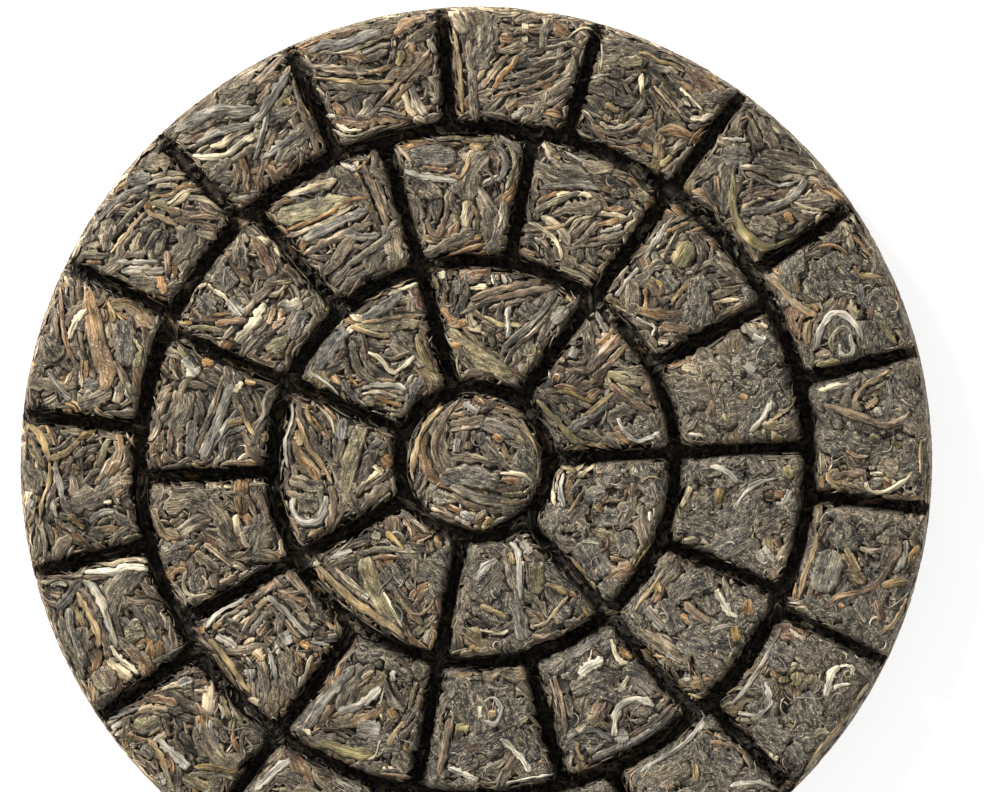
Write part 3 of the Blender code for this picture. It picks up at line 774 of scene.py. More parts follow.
PLACED_DEPTH = 1.2
STRAND_ACROSS = (-1.0, -0.5, 0.0, 0.5, 1.0)
STRAND_SECTION = (0.6, 0.12, 0.0, 0.12, 0.6)
PALE_TONES = ((1, "#c9b996"), (1, "#b0aa9c"), (1, "#a3875c"), (1, "#8c877b"), (1, "#eaddc2"))
PALE_RIBBONS = (
    (0, 1.4, -61.4, 66.6, -57.5, 66.2, -53.6, 67, -51.4, 69.2, -48, 71),
    (2, 1.3, -79.2, 45.7, -76.2, 49.2, -73.6, 52.3, -71.5, 54.5),
    (2, 1.3, -71.5, 54.7, -67.5, 52.9, -64.5, 51.5),
    (3, 1.2, -78, 43.6, -68.8, 43.6),
    (3, 1.8, -40.5, 84.9, -43.6, 80.1, -46.2, 76.2, -48.8, 74),
    (0, 1.2, -30.1, 73.6, -27.9, 72, -24.5, 72.3),
    (0, 1.0, -34.5, 81.4, -32.7, 79.6),
    (1, 1.3, -29.5, 65.5, -25.8, 63.6),
    (1, 1.5, -15.3, 63.6, -12.7, 62.3, -8.3, 61.9, -3.6, 61),
    (0, 1.6, 10.2, 92, 11.6, 92),
    (3, 2.0, 8.2, 74.9, 10.8, 77),
    (0, 0.8, 20.3, 92.3, 22, 94, 24.7, 95.1, 26.9, 93.1, 27.7, 90.1, 27.5, 85.3),
    (1, 0.8, 22.5, 82.9, 24.7, 83.8, 29.5, 84.4),
    (0, 0.8, 44.7, 81.4, 47.3, 79.2, 49.5, 76.6),
    (0, 1.3, 46.9, 74.9, 49.5, 74.5, 52.1, 75.8),
    (0, 1.0, 27.3, 74, 29, 72.7, 31.7, 72.7, 34.7, 74.5),
    (1, 0.8, 19.5, 67.9, 23, 65.7, 27.3, 64.6),
    (1, 1.0, 27.3, 50.1, 29.9, 50.7, 32.1, 51.4),
    (0, 1.2, 11.7, 52.2, 15.6, 50.5, 18.2, 47.9, 19.1, 44),
    (3, 1.4, 5.1, 68.8, 6.9, 66.1, 6.4, 63.5, 5.3, 61),
    (0, 0.8, 5.3, 54.9, 6, 53.2, 5.1, 51),
    (3, 1.6, 36.9, 44.4, 39.9, 49.2, 43, 53.2),
    (3, 0.8, 63, 61.4, 65.6, 60.1, 68.6, 60.5, 70.8, 61.4),
    (0, 0.8, 69.5, 56.6, 72.1, 55.3, 75.6, 54.7),
    (1, 0.8, 53.8, 70.5, 59, 70.1),
    (0, 1.6, 80.8, 49.2, 80.3, 50.7),
    (0, 1.6, -84.4, 33.3, -86.2, 31.8, -87.4, 29.7, -88.3, 26.8),
    (2, 0.9, -85.5, 22.3, -85.7, 18.8, -85.5, 16.2),
    (2, 1.1, -93.6, 13.1, -91, 14.4),
    (3, 3.0, -63.3, 22.7, -60.5, 18.8),
    (0, 1.4, -50.5, 17.5, -52.3, 15.3),
    (0, 1.0, -58.1, 38.8, -57, 37.5, -54.9, 36.6, -53.6, 34.9),
    (0, 2.0, -45.5, 34.5, -48.3, 30, -51.8, 26.2),
    (2, 1.3, -44.7, 30.1, -43.6, 33.6),
    (0, 1.2, -12, 39, -14.4, 38.3, -16.6, 37.5, -18.8, 36.6),
    (1, 1.0, -35.3, 21.8, -36.2, 19.7, -34, 18.6, -31.4, 16.6, -29.7, 14.4),
    (0, 1.0, -23.1, 24, -20.5, 22.7, -18.8, 20.1, -17.5, 19.4, -15.7, 20.5, -13.1, 23.1),
    (1, 1.1, -24.4, 16, -21.8, 17, -18.8, 16.8, -15.7, 16.6, -15, 15.7),
    (0, 1.0, -24.4, 14.9, -21.8, 15.5, -19.2, 15.1, -16.6, 14.2),
    (1, 1.0, -39.9, 12.7, -39.7, 10.1, -40.7, 7, -41.6, 4.4, -41.2, 1.4, -40.7, -1.2),
    (0, 0.9, -34.4, 12.7, -32.3, 11, -31, 8.8, -30.5, 6.2),
    (2, 1.3, -38.6, 9.7, -37, 6.2, -36.2, 2.7, -34, 1, -32.3, -1.6, -31, -4.7),
    (1, 1.8, -39.4, -7.7, -39.9, -9.9, -38.8, -12.5, -36.2, -13.4, -33.6, -12.5, -32.3, -9.9, -32.3, -7.3),
    (3, 1.2, -44.9, -5.1, -43.1, -10.3, -41.8, -13.8),
    (1, 2.0, -2.3, 13.1, -0.5, 11.8, 0.8, 10.9),
    (3, 1.6, -3.6, 5.3, -4, 2.3),
    (0, 1.1, 5.6, -2.3, 8.2, -2.3, 10.8, -2.7, 12.7, -4.3),
    (1, 1.0, -9.7, -5.6, -8.4, -6),
    (0, 2.0, -7, 42, -7, 40),
    (1, 1.0, 3.8, 41, 4.3, 38.8),
    (1, 0.9, 6, 41, 6.9, 38.8),
    (1, 1.4, 7.7, 34, 6.9, 31.8, 7.7, 29.2, 6.9, 27),
    (1, 0.8, 20.8, 37.5, 22.1, 35.7),
    (0, 1.6, 18.6, 42.3, 21.2, 41, 23.4, 40.5, 25.6, 38.3),
    (3, 1.8, 26.4, 33.1, 27.7, 30.5, 29, 28.4),
    (1, 1.1, 31.2, 9.7, 32.1, 7.5, 33.8, 5.3, 35.6, 4.4, 38.2, 5.3, 40.3, 6.6),
    (1, 1.2, 35.6, 42.3, 33.4, 39.7, 30.8, 36.2),
    (1, 0.8, 35.1, 31.4, 37.7, 30.1, 39.5, 29.7, 38.6, 27.5),
    (0, 2.0, 39.9, 26.2, 42.1, 26),
    (1, 2.8, 60.5, 27.4, 63.2, 26.4),
    (1, 2.6, 58.8, 21, 61, 19.9),
    (3, 1.6, 64.3, 13.6, 63.4, 10.5, 61.2, 7.9, 59.9, 6.6),
    (2, 0.9, 69.5, 13.1, 68.6, 11.8, 66.4, 10.5, 64.7, 9.2),
    (2, 1.6, 64.7, 39.4, 66.4, 38.3, 68.6, 35.3, 70.8, 33.6, 74.3, 31.8),
    (1, 1.4, 74.3, 24.9, 75.1, 28.8, 76.9, 31.8, 79, 32.7, 81.7, 31.4, 83.8, 28.8, 84.5, 25.7),
    (1, 1.1, 79.5, 25.7, 79.5, 23.6, 81.2, 22.7, 82.5, 24.4, 81.7, 27.9),
    (2, 1.4, 82.5, 42.7, 83.4, 40.5, 86, 40.5, 89, 40.1),
    (0, 1.8, 74.7, 15.7, 78.2, 16.6, 81.7, 17),
    (2, 1.2, 90.3, 20.1, 87.7, 18.3, 85.1, 17, 83.4, 15.3, 82.5, 13.1),
    (2, 1.6, 85.1, 11.8, 87.7, 14),
    (1, 1.8, 87.3, 12, 88.1, 10),
    (1, 1.0, 81.2, 8.8, 82.5, 7),
    (0, 1.2, 85.1, -4.3, 85.6, -6.4, 88.6, -6.9, 92.1, -5.1, 94.3, -3.4, 95.1, -2.1),
    (0, 0.9, 86, -2.4, 88.7, -2.4),
    (1, 1.2, 51.2, -0.8, 53.8, -1.2, 56, -2.9, 57.3, -4.3),
    (1, 1.3, 56.4, -10.3, 58.2, -6.9, 60.8, -4.7, 63.8, -3.8, 65.6, -3.4),
    (1, 1.6, 68.6, -6, 67.3, -9, 65.6, -9),
    (4, 1.6, -84.9, -23.8, -81.4, -23.4, -78.3, -24, -76.2, -22.7, -73.5, -22.7, -71, -23),
    (0, 1.0, -73.6, -20.8, -71, -21.7),
    (0, 1.0, -92.3, -26.9, -90.5, -26.2, -88.8, -26.9),
    (3, 1.8, -85.3, -25.6, -82.7, -27.7, -81, -30.8, -79.7, -34.3, -78.8, -37.7, -77.9, -40.3),
    (2, 1.6, -86.4, -28.2, -85.3, -30.8, -83.6, -33.4, -82.3, -36, -81.8, -38.6, -82, -40.3),
    (0, 1.3, -79.2, -39.9, -77.5, -42.5, -75.3, -44.3, -73.1, -46),
    (0, 0.8, -66.8, -32.1, -65.5, -33.8, -65.3, -35.6),
    (0, 1.0, -62.7, -23.6, -63.6, -26.4, -62.7, -28.8, -60.5, -29.3, -57.9, -28.8),
    (0, 1.1, -59.4, -24.7, -58.1, -26, -58.6, -27.7),
    (0, 1.3, -50.7, -15.1, -50.1, -17.3, -48.8, -18.6),
    (1, 1.3, -53.6, -27.7, -51, -26),
    (2, 1.6, -73.1, -54.3, -70.5, -53.2, -68.3, -53.4, -66.6, -54),
    (3, 0.9, -79.7, -55.6, -77.1, -55.1, -74.9, -53.8, -72.3, -53.4),
    (1, 1.6, -79.2, -58.2, -76.2, -56.4),
    (1, 1.8, -69.2, -59.9, -67, -62.1, -64.4, -64.3, -62.3, -66.4),
    (2, 1.4, -71, -60.3, -68.8, -62.5, -67.5, -65.6, -66.6, -69, -65.3, -71.2),
    (1, 2.0, -68.8, -67.7, -67.9, -70.3),
    (3, 1.4, -57.5, -56, -57, -59.9, -55.3, -62.5),
    (1, 1.4, -58.6, -36, -57, -33.8, -54.9, -31.7, -52.3, -30.8, -50.1, -29.5),
    (1, 1.8, -56.2, -37.7, -53.6, -39, -51.8, -40.3),
    (0, 2.0, -22.3, -15.6, -20.5, -16.4),
    (1, 1.0, -39.4, -15.1, -38.6, -17.3, -37, -18.2),
    (0, 0.7, -19.7, -28.2, -18.3, -31.2, -16.6, -34.3, -15.7, -36),
    (2, 0.8, -16.2, -29.5, -14.9, -32.1, -12.3, -33.4, -9.7, -31.7, -9, -29.9),
    (0, 1.6, -35.1, -21.7, -33.8, -22.5),
    (1, 1.4, -24.4, -28.6, -23.1, -29.5),
    (1, 1.4, -31.4, -20.8, -28.8, -19.9, -26.6, -19.3),
    (1, 1.3, -45.1, -29, -42.7, -31.2, -40.1, -33.4, -38.3, -36, -36.2, -37.7),
    (2, 1.4, -47.5, -31.7, -44.9, -29.5),
    (3, 1.4, -44.9, -40.3, -43.6, -44.7, -43.1, -49),
    (2, 3.0, -48, -41, -46, -43),
    (3, 0.8, -35.7, -39, -31.4, -39.9),
    (1, 1.8, -29.7, -54.3, -26.2, -53.4, -23.1, -51.7, -20.5, -49),
    (1, 1.8, -17.7, -45.2, -17.7, -47.6),
    (2, 1.4, -15.3, -56.4, -17.5, -59, -18.8, -61.7),
    (0, 2.0, -37.5, -58.2, -35.7, -59),
    (1, 2.0, -40.1, -64.7, -43.1, -66.4, -45.3, -69, -47.9, -71.2),
    (1, 1.0, -30.5, -69, -27.9, -69.9, -25.7, -71.2),
    (1, 1.8, 0.2, -25.6, 2.3, -22.6, 5.1, -21.2),
    (1, 1.4, 7.7, -17.3, 9.3, -19, 9.7, -22.1, 9.7, -25.6, 10.1, -29.9),
    (3, 2.4, 10.8, -16.9, 12.1, -19.9),
    (2, 1.0, 12.5, -35.6, 15.6, -35.1, 18.2, -31.7, 20.3, -29),
    (0, 1.0, 1.2, -36.4, 3.8, -36.9, 6, -37.3, 7.3, -36.4),
    (1, 0.9, 23.4, -17.1, 27.1, -17.7),
    (2, 1.2, 20.8, -20.8, 22.5, -23, 24.3, -25.1),
    (1, 1.4, 19.3, -2.3, 18.4, -6.2, 19.5, -9.7),
    (1, 1.0, 31.2, -2.9, 32.5, -1.6),
    (1, 1.0, 38.2, -10.7, 38.2, -12.7),
    (1, 1.4, 63, -18.2, 65.3, -21.7),
    (2, 1.6, 74.7, -15.1, 73.4, -19.9, 71.7, -24.7, 70.3, -29.5),
    (3, 1.4, 93.8, -16.9, 93.8, -20.8, 91.7, -23.8),
    (3, 2.4, 86, -22, 87.9, -22.8),
    (3, 1.4, 82.5, -30.8, 83.8, -33, 85.1, -34.7),
    (2, 1.6, 87.7, -37.3, 89.9, -36, 92.1, -34.7, 93.8, -31.7, 95.1, -29.9),
    (3, 1.2, 66.4, -36, 64.3, -40.3, 61.7, -45.1, 59, -49, 56, -52.5),
    (0, 1.2, 68.6, -36, 70.4, -37.7, 72.1, -38.2),
    (4, 1.8, 79.5, -44.3, 77.7, -45.6, 76.9, -48.6, 76.4, -50.8),
    (4, 1.1, 77.7, -45.1, 79.9, -44, 82.5, -44.3, 82.1, -46.4),
    (4, 1.0, 76.4, -50.8, 78.6, -48.6, 81.7, -48.2),
    (1, 1.3, 63.2, -47.7, 64, -50.3, 64.3, -52.5, 62.5, -54.7, 60.3, -56),
    (1, 1.0, 57.3, -54.5, 61.2, -55.1, 63, -53.8),
    (2, 1.6, 86, -48.2, 84.3, -51.2, 81.7, -54.7, 79, -58.6, 75.6, -62.5, 72.1, -67.3),
    (0, 1.4, 74.3, -59, 75.6, -58.2, 77.3, -59),
    (2, 1.4, 40.3, -24.3, 38.6, -27.3, 36, -29.9, 34.7, -32.5),
    (0, 1.4, 44.7, -29.5, 47.3, -28.6),
    (3, 3.0, 37.3, -31.7, 41.2, -36),
    (1, 2.0, 45.6, -47.1, 46.9, -46.9),
    (3, 1.6, 41.7, -41.7, 45.1, -43.4),
    (4, 2.0, 52.5, -27.7, 53.8, -30.3, 55.6, -33, 57.3, -33.8),
    (2, 1.2, 51.2, -51, 53.8, -50.6, 56.4, -49, 59.5, -49),
    (1, 1.2, 59, -37.3, 60.6, -35.1),
    (4, 3.4, 22.8, -46.2, 25, -44.3, 28, -42.9),
    (4, 1.8, 39, -53, 36.9, -51.7, 35.1, -51.2, 32.5, -52.1, 30.8, -54.3, 30.4, -56.9, 30.4, -59.5),
    (0, 1.2, 29.7, -38.4, 30.4, -41.2, 31.7, -43.4, 33.4, -43.9),
    (0, 1.6, 33.4, -46.4, 32.1, -49, 31.4, -49.9),
    (0, 1.8, 23.8, -56.9, 22.5, -58.6),
    (3, 1.4, 20.3, -59.9, 23.8, -58.2, 26.9, -58.2, 29.9, -60.8),
    (1, 2.4, 30.5, -60.2, 33.5, -59.6),
    (1, 1.0, 37.7, -56.4, 39.9, -54.7),
    (1, 1.2, 2.1, -52.1, 3.4, -50.8, 5.1, -51.7, 5.8, -53.8, 5.1, -56.4, 3.8, -57.3, 2.1, -56),
    (4, 1.8, 5.6, -60.1, 7.7, -61.7, 9.9, -63.8, 11.2, -65.6, 12.1, -67.3),
    (0, 1.3, 9.9, -56.4, 11.6, -55.4),
    (1, 0.9, 6.9, -69.9, 12.5, -68.6, 17.7, -67.7),
    (1, 1.6, -5.7, -66.4, -2.7, -67.7, 0.8, -69),
    (1, 1.8, -4.4, -48.2, -5.3, -51.2),
    (0, 1.6, 1.2, -53, 1.2, -55.6),
    (1, 1.4, 49, -53.8, 50.3, -55.1, 48.6, -57.7, 46.4, -60.3, 43.8, -62.5, 39.5, -64.7, 36, -67.3),
    (1, 1.4, 55.6, -70.3, 59.9, -69.5, 63.4, -69.9, 66.4, -71.2),
)
ribbons = lay_rows(
    rng, scored_side, PALE_RIBBONS, PALE_TONES, 15, STRAND_ACROSS, widen=1.15, thickness=(0.35, 0.5),
    tip=(0.2, 0.7), ragged=0.26, lowered=0.03,
)
join_cake(
    leaf_mesh("pale_ribbons", scored_side, ribbons, STRAND_ACROSS, STRAND_SECTION),
    leaf_material(
        "rubbed_pale_leaf", PALE_TONES, edge_highlight=0.1, roughness=0.6, wrinkles=0.7, web=0.0, fading=(0.85, 1.35)
    ),
)

# ---- Golden buds ----
# Buds and young leaves: gold, yellow and olive, some short and thick, some run along a portion's edge.

BUD_TONES = ((1, "#a07d34"), (1, "#857b48"), (1, "#8a6c3b"))
BUDS = (
    (0, 2.0, -41, 79.2, -40.2, 77.6),
    (1, 2.0, -15.8, 89.6, -16.6, 86.2),
    (0, 1.0, 33.4, 76.2, 31.7, 73.2),
    (2, 1.8, 28.5, 78, 31.5, 76.3),
    (1, 1.6, 40.4, 64.4, 43, 66.6),
    (1, 2.4, 5, 48.4, 7.4, 48.4),
    (1, 5.0, 44, 42.5, 47, 48),
    (1, 2.6, 56, 62.7, 56.4, 58.8, 56, 55.3, 56.9, 52.3, 59.5, 48.8, 62.1, 46.2, 65.6, 46.6, 69.9, 48.8, 73.8, 51),
    (2, 1.6, -79.6, 35, -78.6, 32, -79, 30.5),
    (0, 1.6, -86.5, 4.9, -83.6, 6.8, -81.8, 7.5),
    (0, 1.8, -88.5, -11.5, -87, -12.5, -85, -14.5),
    (0, 2.4, -50, 17.8, -47.6, 17.3),
    (0, 1.4, -63.9, 30.2, -61.5, 30.4),
    (2, 1.4, -39.2, 26.6, -40.8, 23.4),
    (1, 2.0, -12.5, 27.9, -11.8, 24.4, -10.5, 21.8, -8.8, 19.7),
    (1, 2.0, -8.9, 40.4, -8.4, 37.6),
    (0, 1.8, 3.8, -12.1, 2, -13.8),
    (1, 1.4, 2.1, 31.8, 5.6, 29.7, 8.6, 30.1, 10.3, 29.7),
    (0, 1.2, 16.4, 15.3, 19.9, 15.7, 23, 14, 26, 13.1),
    (1, 2.0, 13.4, 13.6, 15.6, 11.4, 18.2, 8.8, 20.8, 5.3, 24.7, 3.6),
    (2, 1.4, 39.5, 39.7, 41.2, 37.9, 40.1, 36.2),
    (1, 1.8, 54, 10.5, 55.5, 9),
    (2, 1.8, 70, 39.5, 70, 36.6),
    (2, 2.0, 73, 31, 72.1, 27.9, 72.5, 25.7),
    (1, 2.4, 74.3, 21, 77.3, 21.4, 79.5, 21.8),
    (1, 2.0, 88.6, 30.5, 89.9, 27.9, 91.7, 25.7),
    (1, 2.0, 86, 6, 88, 4.6),
    (1, 2.2, 90.8, 4.6, 92.8, 3.4),
    (0, 1.6, 75.3, -2.9, 75.6, -5.6),
    (1, 3.0, 67.5, -0.8, 68.9, -3.4),
    (0, 2.2, 53.4, -5.6, 53, -9),
    (0, 1.8, -61, -66.2, -57.9, -66.4, -54.9, -66.7, -51.4, -67.5),
    (2, 1.0, -71, -59.5, -68.3, -57.7),
    (2, 2.0, -36.2, -16, -32.7, -14.7),
    (0, 1.6, -19.2, -15.1, -17, -17.3, -15.3, -19),
    (0, 1.8, -8.4, -15.8, -7.6, -18.8),
    (1, 1.6, -32.4, -40, -31.7, -42.4),
    (1, 3.0, -34, -60.8, -30.1, -62.1, -25.7, -63.4, -21.8, -63.4),
    (0, 1.6, -1, -39.9, 0.8, -41.2),
    (1, 3.4, 13.8, -22.5, 13.4, -26, 13.8, -28.6),
    (2, 1.6, 15.6, -26.4, 19, -27.7, 20.3, -28.6),
    (2, 1.8, 7.8, -19.5, 8.4, -22.1),
    (0, 2.0, 23.8, -31.7, 25.1, -33.4),
    (0, 1.0, 38.6, -17.7, 36.9, -19.9, 35.1, -22.5),
    (2, 1.8, 26, -9.4, 28, -10.6),
    (2, 2.4, 88.6, -26.9, 91.7, -26, 94.7, -25.8),
    (1, 3.0, 70, -45.6, 70, -48.6),
    (0, 2.6, 56.6, -35.6, 57, -39),
    (0, 1.4, 39.6, -25.4, 40.4, -28.2),
    (1, 3.0, -4.2, -57.7, -1.2, -57.7),
    (2, 2.0, 48, -65.5, 48, -69.5),
)
buds = lay_rows(
    rng, scored_side, BUDS, BUD_TONES, 11, STRAND_ACROSS, thickness=(0.4, 0.6), tip=(0.1, 0.4), lowered=0.04,
    twist=0.4,
)
join_cake(
    leaf_mesh("golden_buds", scored_side, buds, STRAND_ACROSS, STRAND_SECTION),
    leaf_material("golden_bud_leaf", BUD_TONES, streaks=0.8, edge_highlight=0.15, wrinkles=0.7),
)

# ---- Stems ----
# Stalks and tightly rolled leaves: tan, brown, reddish and, where freshly broken, orange.

